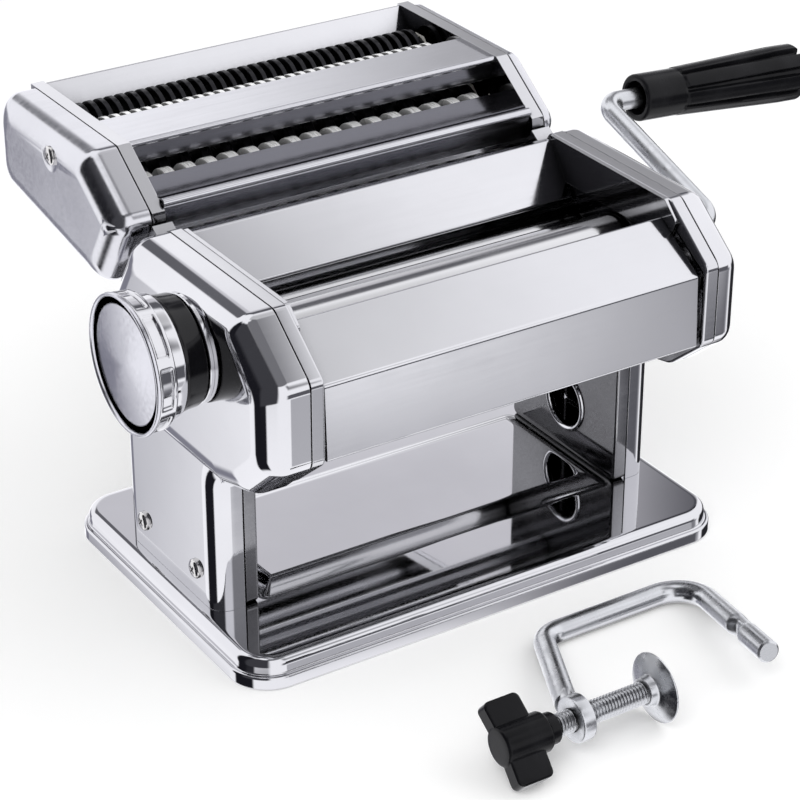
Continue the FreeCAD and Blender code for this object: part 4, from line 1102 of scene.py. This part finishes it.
@dataclass
class GapKnob(Assembly):
    """Thickness knob with its index ring and cam shaft."""

    ring_out: float = LEFT_COVER_OUT + 1.5
    sleeve_in: float = LEFT_COVER_OUT + 2.4
    sleeve_out: float = 109.0
    neck_out: float = 114.2
    band_out: float = 120.8
    face: float = 122.0
    bore_r: float = 5.1
    crown_r: float = 22.6
    index_r: float = 15.5
    flutes: int = 8
    flute: float = 0.95
    index_steps: int = 9
    index_span: float = 240.0

    def seat(self) -> Matrix:
        """Frame on the knob's axis, pointing out to the left."""
        return across(*KNOB_AXIS, 0.0, Side.LEFT)

    def sleeve(self) -> bpy.types.Object:
        """Dark sleeve with a soft lip at each end, and the index pin."""
        a, b = self.sleeve_in, self.sleeve_out
        loop = [*off(a, (0, self.bore_r), (0, 18.7), (0.2, 19.2), (0.7, 19.4), (4.0, 19.6)),
                *off(b, (-1.4, 20.1), (-0.5, 20.2), (0, 20.0), (0, self.bore_r))]
        shape = Shape().turn(loop, self.seat(), 96, closed=True)
        y, z = polar(KNOB_AXIS, self.index_r, 90)
        pin = [(self.ring_out + 0.2, 0.9), (self.ring_out + 0.5, 1.35), (a + 1.0, 1.35)]
        shape.turn(pin, across(y, z, 0.0, Side.LEFT), 24)
        return shape.build("knob_sleeve", GLOSS_SLEEVE)

    def neck(self) -> bpy.types.Object:
        """Bright ring between the sleeve and the band."""
        a, b = self.sleeve_out, self.neck_out
        profile = [*off(a, (0, self.bore_r), (0, 20.3), (0.25, 20.9), (0.8, 21.4), (1.6, 21.5)),
                   *off(b, (-0.3, 21.5), (0, 21.2), (0, self.bore_r))]
        return Shape().turn(profile, self.seat(), 96).build("knob_bright_neck", CHROME)

    def band(self) -> bpy.types.Object:
        """Grip band with long flutes like small windows."""
        a, b = self.neck_out, self.band_out
        window = TURN / self.flutes

        def fluted(angle: float, along: float, radius: float) -> float:
            away = aside(angle, window) * 24.0
            flat = 1.0 - portion((away - 6.6) / 1.1)
            ends = min(portion((along - a - 1.35) / 0.5), portion((b - 0.75 - along) / 0.5))
            return radius - self.flute * smooth(flat) * ends if radius > 21.0 else radius

        profile = [(a, 20.4), (a, 23.2), (a + 0.12, 23.45), (a + 0.4, 23.6)]
        steps = 24
        for k in range(1, steps):
            profile.append((a + 0.4 + (b - a - 0.7) * k / steps, 23.6 + 0.5 * k / steps))
        profile += [(b - 0.25, 24.1), (b, 23.9), (b, 20.4)]
        shape = Shape().turn(profile, self.seat(), 320, closed=True, wave=fluted)
        return shape.build("knob_grip_band", BAND_CHROME, crease=60)

    def cap(self) -> bpy.types.Object:
        """Bright turned face inside a raised rim."""
        a, b = self.band_out, self.face
        profile = [*off(a, (-2.4, 20.2), (0, 20.3), (0, 24.1), (0.15, 24.3)),
                   *off(b, (-0.35, 24.2), (-0.1, 24.0), (0, 23.6), (0, 23.2))]
        for k in range(1, 6):
            sink = 1.4 * math.sin(math.pi / 2 * k / 5)
            profile.append((b - sink, 23.2 - 0.35 * k / 5 - 0.25))
        for k in range(1, 25):
            share = 1 - k / 24.5
            profile.append((b - 0.2 - 1.2 * share ** 2, self.crown_r * share))
        return Shape().turn(profile, self.seat(), 128).build("knob_face", TURNED_CHROME, crease=50)

    def index(self) -> bpy.types.Object:
        """Fixed ring with one hole per thickness."""
        a, b = LEFT_COVER_OUT, self.ring_out
        loop = [(92.0, self.bore_r), (92.0, 8.9), (a + 0.02, 8.9), (a + 0.02, 19.0),
                *off(b, (-0.3, 19.0), (0, 18.7), (0, 5.6), (-0.4, self.bore_r))]
        shape = Shape().turn(loop, self.seat(), 96, closed=True)
        cuts = []
        for i in range(self.index_steps):
            turn = 90 - self.index_span * i / (self.index_steps - 1)
            y, z = polar(KNOB_AXIS, self.index_r, turn)
            hole = [(a + 0.4, 1.5), (b + 1, 1.5)]
            cuts.append(Shape().turn(hole, across(y, z, 0.0, Side.LEFT), 24))
        return shape.build("index_disc", CHROME, cuts=cuts)

    def build(self) -> None:
        """Make the knob and dress its shaft."""
        self.place(self.sleeve(), "gap_knob", "knob_body")
        self.place(self.neck(), "gap_knob", "knob_neck")
        self.place(self.band(), "gap_knob", "knob_band")
        self.place(self.cap(), "gap_knob", "knob_cap")
        self.place(self.index(), "machine", "index_ring")
        self.dress(GROUND, "gap_shaft")


@dataclass
class Crank(Assembly):
    """Bent crank rod with its turning grip."""

    rod_r: float = 4.0
    plane: float = 121.8
    reach: float = 73.5
    lift: float = 18.0
    droop: float = 4.0
    grip_face: float = 137.0
    grip_length: float = 78.0
    ribs: int = 8
    groove: float = 18.5
    flat: float = 3.35
    socket_depth: float = 13.6

    def grip_place(self) -> Matrix:
        """Frame at the inner end of the grip, pointing along it."""
        elbow = polar(DRIVE_AXIS, self.reach, self.lift)
        lead = Vector((math.cos(math.radians(self.droop)), 0, -math.sin(math.radians(self.droop))))
        start = spot(self.plane, *elbow) + lead * ((self.grip_face - self.plane) / lead.x)
        return Matrix.Translation(start) @ Matrix.Rotation(math.radians(self.droop), 4, "Y")

    def rod(self) -> bpy.types.Object:
        """Steel rod with a flat at its inner end."""
        place = self.grip_place()
        end = RIGHT_COVER_OUT - 0.4
        tip = end - self.socket_depth
        stations = [tip, tip + 0.02, tip + 0.5, tip + 8.0, end + 1.0, end + 1.02]
        corner = spot(self.plane, *polar(DRIVE_AXIS, self.reach, self.lift))
        runs = [spot(stations[-1], *DRIVE_AXIS), spot(self.plane, *DRIVE_AXIS), corner,
                place @ Vector((self.grip_length - 10.6, 0, 0))]
        path = [spot(x, *DRIVE_AXIS) for x in stations[1:-1]] + bent_line(runs, [9.0, 7.0], 18)
        flat_z = FLOOR_Z + DRIVE_AXIS[1] + self.flat

        def flattened(point: Vector, centre: Vector) -> Vector:
            if centre.x < end + 1.01:
                point = Vector((point.x, point.y, min(point.z, flat_z)))
            if centre.x < tip + 0.3:
                point = centre + (point - centre) * 0.88
            return point

        shape = Shape().sweep(path, self.rod_r, 48, flattened)
        return shape.build("crank_bar", ZINC)

    def grip(self) -> bpy.types.Object:
        """Moulded grip: smooth barrel, narrow groove, then long ribs."""
        length = self.grip_length
        groove = self.groove
        sector = TURN / self.ribs

        def ribbed(angle: float, along: float, radius: float) -> float:
            if along < groove or radius < 7.65:
                return radius
            share = portion((along - groove) / 0.8)
            crown = 9.5 + 1.9 * portion((along - groove - 1) / (length - 29.5))
            inside = smooth(1.0 - portion((aside(angle, sector) * radius - 2.1) / 0.7))
            end = portion((length - along) / 0.8)
            return radius + (crown - radius) * inside * share - (1 - end) * 0.5

        profile = [(10.0, 4.1), (6.0, 4.1), (6.0, 6.3), (0.5, 6.5), (0.1, 6.8), (0.0, 7.2),
                   (0.0, 8.2), (0.15, 8.75), (0.5, 9.1), (1.0, 9.2)]
        profile += [(19.0 * k / 4, 9.2) for k in range(1, 4)]
        profile += [(18.0, 9.2), (18.6, 9.1), (19.1, 8.7), (19.6, 8.2), (20.4, 7.9)]
        steps = 26
        run = length - 21.4
        profile += [(20.4 + run * k / steps, 7.9 + 1.3 * k / steps) for k in range(1, steps + 1)]
        profile += off(length, (-0.6, 9.15), (-0.2, 9.0), (0, 8.6), (0, 7.9), (-0.4, 7.6),
                       (-11.0, 7.6), (-11.0, 4.1))
        shape = Shape().turn(profile, self.grip_place(), 192, closed=True, wave=ribbed)
        return shape.build("grip_moulding", BLACK_PLASTIC, crease=45)

    def retainer(self) -> bpy.types.Object:
        """Riveted washer inside the end of the grip."""
        a, b = self.grip_length - 10.6, self.grip_length - 9.2
        profile = [(a, 6.2), *off(b, (-0.3, 6.2), (0, 5.9), (0, 3.2), (0.6, 3.0), (1.1, 2.2),
                                  (1.3, 0.8))]
        return Shape().turn(profile, self.grip_place(), 48).build("grip_washer", ZINC)

    def build(self) -> None:
        """Make the crank."""
        self.place(self.rod(), "crank", "crank_rod")
        self.place(self.grip(), "grip", "crank_grip")
        self.place(self.retainer(), "crank", "grip_retainer")


@dataclass
class CutterHead(Assembly):
    """Lift-off head with two pairs of cutting rolls; the rear one of each is painted near black as
    painted shade, the front one near white as a painted highlight.
    """

    disc_r: float = 9.5
    core_r: float = 5.5
    wide_pitch: float = 8.6
    wide_discs: int = 17
    fine_pitch: float = 4.3
    fine_discs: int = 34
    play: float = 0.1
    screw: Flat = (106.0, 134.5)
    socket_hole_r: float = 6.0
    flow: float = 6.0

    def cutting_roll(self, name: str, axis: Flat, pitch: float, count: int, shift: int,
                     socket: bool) -> bpy.types.Object:
        """Grooved roll of square-edged discs.

        Args:
            name: Name of the piece.
            axis: Sketch position of the roll.
            pitch: Distance between discs.
            count: Number of discs.
            shift: 1 moves the discs by half a pitch, so that they enter the partner's gaps.
            socket: True when the roll's right end takes the crank.

        Returns:
            The new piece.
        """
        width = pitch / 2 - 2 * self.play
        first = -pitch * (count - 0.5) / 2 + shift * pitch / 2
        half = pitch * (count + 0.5) / 2 + 0.3
        core, rim, edge = self.core_r, self.disc_r, 0.18
        profile = [(-82.5, core), (-half, core)]
        for i in range(count):
            a = first + pitch * i - width / 2
            b = a + width
            profile += [(a, core), (a, rim - edge), (a + edge, rim), (b - edge, rim),
                        (b, rim - edge), (b, core)]
        profile.append((half, core))
        if socket:
            profile += off(RIGHT_CUTTER_OUT - 0.6, (-0.3, core), (0, core - 0.3), (0, 4.4),
                           (-0.35, 4.05), (-14, 4.05))
        else:
            profile.append((PLATE_OUT, core))
        # Lit and shaded copies of one alloy: the front rolls take a painted highlight, the rear
        # rolls painted shade.
        finish = LIT_CUTTER_ALLOY if socket else SHADED_CUTTER_ALLOY
        return Shape().turn(profile, across(*axis), 72).build(name, finish)

    def cover(self, side: Side, face: float, fillet: float) -> bpy.types.Object:
        """Pressed end shell with a dimple round its screw."""
        shape = pan(Shape(), CUTTER_OUTLINE, COVER_IN, face, 1.0, fillet, side, 10, self.flow)
        dimple = [(-0.55, 2.0), (-0.5, 4.4), (-0.25, 5.6), (0.0, 6.2), (0.6, 6.6)]
        cuts = [Shape().turn(dimple, across(*self.screw, side.x(face), side), 48)]
        if side is Side.RIGHT:
            cuts += [bore(axis, face, self.socket_hole_r, 4, 48)
                     for axis in (WIDE_FRONT, FINE_FRONT)]
        return shape.build(f"cutter_shell_{side.name.lower()}", SATIN_CHROME, crease=40, cuts=cuts)

    def fasteners(self) -> bpy.types.Object:
        """Cross-recessed screws of the two shells."""
        shape = Shape()
        slots = pan_head(shape, self.screw, LEFT_CUTTER_OUT - 0.5, Side.LEFT, 1.5)
        slots += pan_head(shape, self.screw, RIGHT_CUTTER_OUT - 0.5, Side.RIGHT, 1.5)
        return shape.build("shell_screws", NICKEL, cuts=slots)

    def beaded(self, path: Sequence[Flat], bead: Flat, bead_r: float, sides: int) -> Shape:
        """Sheet between the end plates with a round bead along it."""
        return sheet(path, 1.0, -1, PLATE_IN).push(circle(bead, bead_r, sides), -PLATE_IN, PLATE_IN)

    def slope(self) -> bpy.types.Object:
        """Dark sheet over the front rail's slope up to the wide cutters: painted shade."""
        return sheet([(62.9, 130.0), (78.2, 130.45)], 0.4, 1, PLATE_IN).build("front_slope", PAINTED_SHADE_PLATE)

    def front(self) -> bpy.types.Object:
        """Front rail with its rolled bead, folded over towards the wide cutters."""
        path = bent([(61.2, 118.4), (60.2, 121.4), (58.9, 129.6), (78.0, 130.2)], [1.6, 1.6])
        return self.beaded(path, (60.5, 128.6), 1.75, 40).build("front_rail", SATIN_CHROME)

    def middle(self) -> bpy.types.Object:
        """Flat top between the two slots with a bead on its front fold."""
        path = bent([(84.9, 134.0), (83.8, 142.4), (108.6, 142.4), (109.4, 137.4)], [1.2, 1.0])
        return self.beaded(path, (84.1, 141.8), 1.3, 32).build("middle_top", SATIN_CHROME)

    def back(self) -> bpy.types.Object:
        """Rear skin with a rolled top."""
        path = bent([(150.4, 110.0), (150.4, 142.9), (149.2, 143.0), (142.3, 134.6)], [0.8, 0.8])
        return sheet(path, 0.9, 1, PLATE_IN).build("back_skin", SHEET_CHROME)

    def build(self) -> None:
        """Make the rolls, shells and sheets, and dress the rest."""
        rolls = (("wide_front", WIDE_FRONT, self.wide_pitch, self.wide_discs, 0, True),
                 ("wide_rear", WIDE_REAR, self.wide_pitch, self.wide_discs, 1, False),
                 ("fine_front", FINE_FRONT, self.fine_pitch, self.fine_discs, 0, True),
                 ("fine_rear", FINE_REAR, self.fine_pitch, self.fine_discs, 1, False))
        for body, axis, pitch, count, shift, socket in rolls:
            piece = self.cutting_roll(f"{body}_cutters", axis, pitch, count, shift, socket)
            self.place(piece, body, f"{body}_roller")
            self.dress(GROUND, f"{body}_gear")
            self.dress(SHADED_BRUSHED, f"{body}_comb")
        head = "cutter_head"
        self.place(self.cover(Side.LEFT, LEFT_CUTTER_OUT, 8.4), head, "cutter_cover_left")
        self.place(self.cover(Side.RIGHT, RIGHT_CUTTER_OUT, 4.2), head, "cutter_cover_right")
        self.place(self.fasteners(), head, "cutter_screws")
        self.place(self.front(), head, "cutter_front_plate")
        self.place(self.slope(), head, "cutter_front_plate")
        self.place(self.middle(), head, "cutter_middle_plate")
        self.place(self.back(), head, "cutter_back_plate")
        self.dress(PLATE_CHROME, "cutter_plate_left", "cutter_plate_right")
        self.dress(SHADED_BRUSHED, "cutter_rods")
        self.dress(ACETAL, "cutter_bushes")


@dataclass
class TableClamp(Assembly):
    """Loose clamp of bent rod with its screw, pad and wing knob."""

    rod_r: float = 4.0
    width: float = 64.3
    tilt: float = 8.8
    arm: float = 61.0
    lean: float = 14.0
    pinch: float = 42.0
    screw_reach: float = 56.1
    eye_x: float = -25.8
    screw_left: float = -38.0
    screw_right: float = 4.0
    thread: float = 1.25
    thread_depth: float = 0.62
    wing_angle: float = 41.0

    def on(self, u: float, w: float, h: float = 0.0) -> Vector:
        """Point of the clamp: u along its back bar, w along its arms, h off its plane."""
        tilt = math.radians(self.tilt)
        return Vector((0.2 + u, LEG_FRONT_Y - 62.0 - w * math.cos(tilt) - h * math.sin(tilt),
                       4.0 + w * math.sin(tilt) + h * math.cos(tilt)))

    def screw_place(self, x: float = 0.0) -> Matrix:
        """Frame on the axis of the screw."""
        point = self.on(0, self.screw_reach)
        return Matrix.Translation(Vector((x, point.y, point.z)))

    def bow(self) -> bpy.types.Object:
        """Bent rod with a flattened eye and a notched tip."""
        runs = [self.on(self.eye_x + 3.0, self.screw_reach - 10), self.on(0, 0),
                self.on(self.width, 0), self.on(self.width - self.lean, self.arm)]
        path = bent_line(runs, [11.0, 12.0], 20)
        tip = (path[-1] - path[-2]).normalized()
        path = path[:-1] + [path[-1] - tip * 0.7, path[-1]]
        tilt = math.radians(self.tilt)
        over = Vector((0, math.sin(tilt), math.cos(tilt)))
        inner = tip.cross(over).normalized()
        last = path[-1].copy()
        pinch = self.on(self.width - self.lean * self.pinch / self.arm, self.pinch)
        fine = [path[-3] + (path[-2] - path[-3]) * (k / 80) for k in range(1, 80)]
        path = path[:-2] + fine + path[-2:]

        def eased(point: Vector, centre: Vector) -> Vector:
            if (centre - last).length < 0.01:
                return centre + (point - centre) * 0.84
            along = (centre - pinch).dot(tip)
            depth = smooth(portion((along + 5.5) / 4.0 if along < 0 else (3.2 - along) / 1.1))
            away = point - centre
            side = away.dot(inner)
            high = away.dot(over)
            if side > 0:
                side *= 1.0 - 0.62 * depth
            high *= 1.0 - 0.14 * depth
            return centre + inner * side + over * high + tip * away.dot(tip)

        shape = Shape().sweep(path, self.rod_r, 44, eased)
        eye = self.screw_place(self.on(self.eye_x, 0).x)
        loop = [(-2.5, 4.1), (-2.5, 7.2), (-2.3, 7.75), (-1.8, 8.0), (1.8, 8.0), (2.3, 7.75),
                (2.5, 7.2), (2.5, 4.1)]
        shape.turn(loop, eye, 56, closed=True)
        rings = []
        for share in (0.0, 0.25, 0.5, 0.75, 1.0):
            centre = self.on(self.eye_x + 5.5 * share, self.screw_reach - 5.0 - 9.0 * share)
            tall = 6.4 - 2.6 * share
            wide = 2.5 + 1.3 * share
            rings.append([centre + Vector((1, 0, 0)) * (wide * math.cos(TURN * k / 32))
                          + over * (tall * math.sin(TURN * k / 32)) for k in range(32)])
        shape.skin(rings)
        return shape.build("clamp_bow", ZINC)

    def screw(self) -> bpy.types.Object:
        """Threaded rod."""
        def threaded(angle: float, along: float, radius: float) -> float:
            if along < self.screw_left + 3 or along > self.screw_right - 3:
                return radius
            phase = (along / self.thread + angle / TURN) % 1.0
            return radius - self.thread_depth * abs(2 * phase - 1)

        run = self.screw_right - self.screw_left
        count = int(run / self.thread * 8)
        profile = [(self.screw_left, 3.7)]
        profile += [(self.screw_left + run * k / count, self.rod_r) for k in range(1, count)]
        profile.append((self.screw_right, 3.7))
        shape = Shape().turn(profile, self.screw_place(), 48, wave=threaded)
        return shape.build("clamp_thread", ZINC, crease=70)

    def pad(self) -> bpy.types.Object:
        """Dished pad on the end of the screw."""
        loop = off(self.screw_right, (-3.0, 4.1), (-3.0, 4.6), (-2.7, 4.9), (-0.8, 5.1),
                   (-0.1, 5.4), (0.3, 6.2), (0.7, 8.0), (1.2, 10.0), (1.8, 11.8), (2.0, 12.2),
                   (2.3, 12.3), (2.6, 12.1), (2.2, 10.6), (1.8, 8.6), (1.6, 6.4), (1.6, 3.0),
                   (1.6, 0.3), (0, 0.3), (0, 4.1))
        shape = Shape().turn(loop, self.screw_place(), 72, closed=True)
        return shape.build("clamp_dish", ZINC)

    def wing(self) -> bpy.types.Object:
        """Black wing knob with a ribbed hub and two flat wings."""
        a, b = self.screw_left - 18.5, self.screw_left + 3.0
        profile = [*off(a, (0, 3.0), (0, 5.9), (0.3, 6.6), (1.0, 7.0)),
                   *off(b, (-5.0, 7.0), (-4.2, 6.6), (-3.6, 5.6), (-0.6, 5.4), (0, 5.0), (0, 4.2),
                        (-3.0, 4.1), (-3.0, 0.5))]
        shape = Shape().turn(profile, self.screw_place(), 64)
        outline = ((a + 0.6, 2.0, 0.8), (a - 0.4, 14.8, 2.2), (a + 13.2, 14.8, 2.2),
                   (a + 14.2, 2.0, 0.8))
        layers = ((-3.2, 0.9), (-3.0, 0.35), (-2.6, 0.0), (2.6, 0.0), (3.0, 0.35), (3.2, 0.9))
        for turn in (self.wing_angle, self.wing_angle + 180):
            place = self.screw_place() @ Matrix.Rotation(math.radians(turn), 4, "X")
            shape.skin([[place @ Vector((x, y, high)) for x, y in level(outline, drawn, 6, 0.3)]
                        for high, drawn in layers])
        return shape.build("wing_moulding", BLACK_PLASTIC, crease=40)

    def build(self) -> None:
        """Make the clamp."""
        self.place(self.bow(), "clamp", "clamp_frame")
        self.place(self.screw(), "clamp_turn", "clamp_screw")
        self.place(self.pad(), "clamp_feed", "clamp_pad")
        self.place(self.wing(), "clamp_turn", "clamp_wing")


# Studio
@dataclass(frozen=True)
class Panel:
    """Patch of the studio round the machine that bright metal mirrors.

    Angles are in degrees: azimuth from +X towards +Y, elevation from the horizon. soft and fade
    are the widths of its soft borders sideways and up and down.
    """

    azimuth: float
    elevation: float
    width: float
    height: float
    soft: float
    fade: float
    tint: Colour


@dataclass
class Studio:
    """Plain pale floor, soft lamps, mirrored surroundings and the camera."""

    lens: float = 118.86
    sensor: float = 36.0
    nearest: float = 0.01
    camera_at: Corner = (-0.4542, -0.7105, 0.5099)
    right: Corner = (0.8421, -0.5393, 0.0008)
    up: Corner = (0.2556, 0.4004, 0.8800)
    back: Corner = (-0.4749, -0.7408, 0.4750)
    ambient: float = 0.78
    floor_reach: float = 3.0
    floor_tones: tuple[Colour, Colour] = ((0.83, 0.83, 0.83), (0.86, 0.86, 0.86))
    floor_glow: float = 0.2
    lamps: tuple[tuple[str, Corner, float, float], ...] = (
        ("key_lamp", (-0.9, -0.8, 1.3), 1.0, 9.0), ("fill_lamp", (1.1, -0.5, 1.2), 1.2, 5.0))
    lamps_aim: Corner = (0.0, 0.0, 0.06)
    walls: Colour = (1.38, 1.38, 1.42)
    panels: tuple[Panel, ...] = (
        Panel(-63.0, 40.0, 4.0, 10.0, 12.0, 14.0, (0.36, 0.36, 0.38)),
        Panel(-42.0, -22.0, 12.0, 14.0, 13.0, 8.0, (0.34, 0.34, 0.37)),
        Panel(-56.0, -28.0, 14.0, 5.0, 4.0, 3.5, (0.66, 0.66, 0.70)),
        Panel(-8.0, 74.0, 70.0, 16.0, 20.0, 11.0, (0.78, 0.78, 0.80)),
        Panel(48.0, 16.0, 12.0, 16.0, 9.5, 5.0, (0.48, 0.48, 0.50)),
        Panel(104.0, -24.0, 16.6, 34.0, 8.2, 10.0, (0.30, 0.30, 0.36)),
        Panel(12.0, -30.0, 46.0, 40.0, 9.0, 9.0, (0.03, 0.03, 0.035)),
        Panel(56.0, 33.0, 26.0, 5.0, 12.0, 5.5, (0.86, 0.85, 0.90)),
        Panel(57.0, 46.0, 30.0, 10.0, 14.0, 6.0, (0.16, 0.16, 0.18)),
        Panel(86.0, 37.0, 26.0, 10.0, 5.0, 6.0, (0.18, 0.18, 0.20)),
        Panel(-75.0, 69.0, 80.0, 14.0, 20.0, 7.0, (0.26, 0.26, 0.28)),
        Panel(-60.0, -8.0, 28.0, 16.0, 12.0, 4.5, (0.15, 0.15, 0.17)),
        Panel(46.0, 31.0, 6.0, 8.0, 5.0, 4.0, (0.12, 0.12, 0.14)),
        Panel(-47.0, -32.0, 8.0, 8.0, 6.0, 4.0, (0.15, 0.15, 0.17)),
        Panel(171.0, 5.0, 48.0, 110.0, 8.0, 10.0, (0.015, 0.015, 0.02)),
        Panel(208.0, 22.0, 56.0, 88.0, 13.0, 8.0, (0.07, 0.07, 0.08)),
    )

    def camera(self) -> None:
        """Put the camera at the photograph's view."""
        lens = bpy.data.cameras.new("camera")
        lens.lens = self.lens
        lens.sensor_width = self.sensor
        lens.clip_start = self.nearest
        eye = bpy.data.objects.new("camera", lens)
        turn = Matrix((self.right, self.up, self.back)).transposed().to_4x4()
        eye.matrix_world = Matrix.Translation(Vector(self.camera_at)) @ turn
        bpy.context.scene.collection.objects.link(eye)
        bpy.context.scene.camera = eye

    def within(self, tree: Tree, value: Socket, span: float, soft: float) -> Socket:
        """How far an angle about 0 lies inside a span with a soft border, from 0 to 1."""
        step = tree.node("ShaderNodeMapRange", interpolation_type="SMOOTHSTEP")
        step.inputs["From Min"].default_value = math.radians(span / 2 + soft)
        step.inputs["From Max"].default_value = math.radians(span / 2)
        tree.join(tree.sum("ABSOLUTE", value), step.inputs["Value"])
        return step.outputs["Result"]

    def covered(self, tree: Tree, heading: Socket, panel: Panel) -> Socket:
        """How far a direction lies inside a panel, from 0 to 1."""
        spin = tree.node("ShaderNodeVectorRotate", rotation_type="Z_AXIS")
        spin.inputs["Angle"].default_value = -math.radians(panel.azimuth)
        tree.join(heading, spin.inputs["Vector"])
        parts = tree.node("ShaderNodeSeparateXYZ")
        tree.join(spin.outputs["Vector"], parts.inputs["Vector"])
        sideways = tree.sum("ARCTAN2", parts.outputs["Y"], parts.outputs["X"])
        rise = tree.sum("ARCSINE", parts.outputs["Z"])
        height = tree.sum("SUBTRACT", rise, math.radians(panel.elevation))
        return tree.sum("MULTIPLY", self.within(tree, sideways, panel.width, panel.soft),
                        self.within(tree, height, panel.height, panel.fade))

    def surroundings(self) -> None:
        """World: even light on dull surfaces, a white view, and panels for bright metal."""
        world = bpy.data.worlds.new("studio")
        bpy.context.scene.world = world
        world.use_nodes = True
        tree = Tree(world.node_tree)
        heading = tree.node("ShaderNodeTexCoord").outputs["Generated"]
        colour: Socket | Colour = self.walls
        for panel in self.panels:
            colour = tree.blend(self.covered(tree, heading, panel), colour, panel.tint)
        mirrored = tree.node("ShaderNodeBackground")
        tree.join(colour, mirrored.inputs["Color"])
        even, seen = tree.node("ShaderNodeBackground"), tree.node("ShaderNodeBackground")
        for plain, strength in ((even, self.ambient), (seen, 1.0)):
            plain.inputs["Color"].default_value = (1.0, 1.0, 1.0, 1.0)
            plain.inputs["Strength"].default_value = strength
        path = tree.node("ShaderNodeLightPath")
        chosen = even.outputs[0]
        for kind, light in (("Is Glossy Ray", mirrored), ("Is Camera Ray", seen)):
            mix = tree.node("ShaderNodeMixShader")
            tree.join(path.outputs[kind], mix.inputs[0])
            tree.join(chosen, mix.inputs[1])
            tree.join(light.outputs[0], mix.inputs[2])
            chosen = mix.outputs[0]
        output = tree.node("ShaderNodeOutputWorld")
        tree.join(chosen, output.inputs["Surface"])

    def floor(self) -> None:
        """Pale floor that takes the soft shadow."""
        mesh = bpy.data.meshes.new("floor")
        corners = ((-1, -1), (1, -1), (1, 1), (-1, 1))
        mesh.from_pydata([(self.floor_reach * x, self.floor_reach * y, 0) for x, y in corners],
                         [], [(0, 1, 2, 3)])
        floor = bpy.data.objects.new("floor", mesh)
        bpy.context.scene.collection.objects.link(floor)
        made = Recipe("pale_floor")
        shader = made.shader
        made.join(made.tone(*self.floor_tones, made.noise(3.0)), shader.inputs["Base Color"])
        shader.inputs["Roughness"].default_value = 0.9
        shader.inputs["Specular IOR Level"].default_value = 0.0
        glow = made.node("ShaderNodeEmission")
        path = made.node("ShaderNodeLightPath")
        made.join(made.spread(path.outputs["Is Camera Ray"], 0.0, self.floor_glow, 0.0, 1.0),
                  glow.inputs["Strength"])
        both = made.node("ShaderNodeAddShader")
        made.join(shader.outputs["BSDF"], both.inputs[0])
        made.join(glow.outputs["Emission"], both.inputs[1])
        made.join(both.outputs["Shader"], made.output.inputs["Surface"])
        mesh.materials.append(made.material)
        floor.visible_glossy = False

    def lamp(self, name: str, at: Corner, size: float, energy: float) -> None:
        """Soft square lamp that looks at the machine."""
        light = bpy.data.lights.new(name, "AREA")
        light.shape = "SQUARE"
        light.size = size
        light.energy = energy
        lamp = bpy.data.objects.new(name, light)
        lamp.location = at
        way = Vector(self.lamps_aim) - Vector(at)
        lamp.rotation_euler = way.to_track_quat("-Z", "Y").to_euler()
        lamp.visible_glossy = False
        bpy.context.scene.collection.objects.link(lamp)

    def build(self) -> None:
        """Set up the studio."""
        self.camera()
        self.surroundings()
        self.floor()
        for lamp in self.lamps:
            self.lamp(*lamp)
        bpy.context.scene.view_settings.view_transform = "Standard"


def main() -> None:
    """Build the studio and every sub-assembly in order."""
    logging.basicConfig(level=logging.INFO, format="%(name)s: %(message)s")
    for group in (Studio, BaseTray, EndPlates, SideCovers, BodySkins, RollingPair, GapKnob, Crank,
                  CutterHead, TableClamp):
        log.info("building %s", group.__name__)
        group().build()


if __name__ == "__main__":
    main()
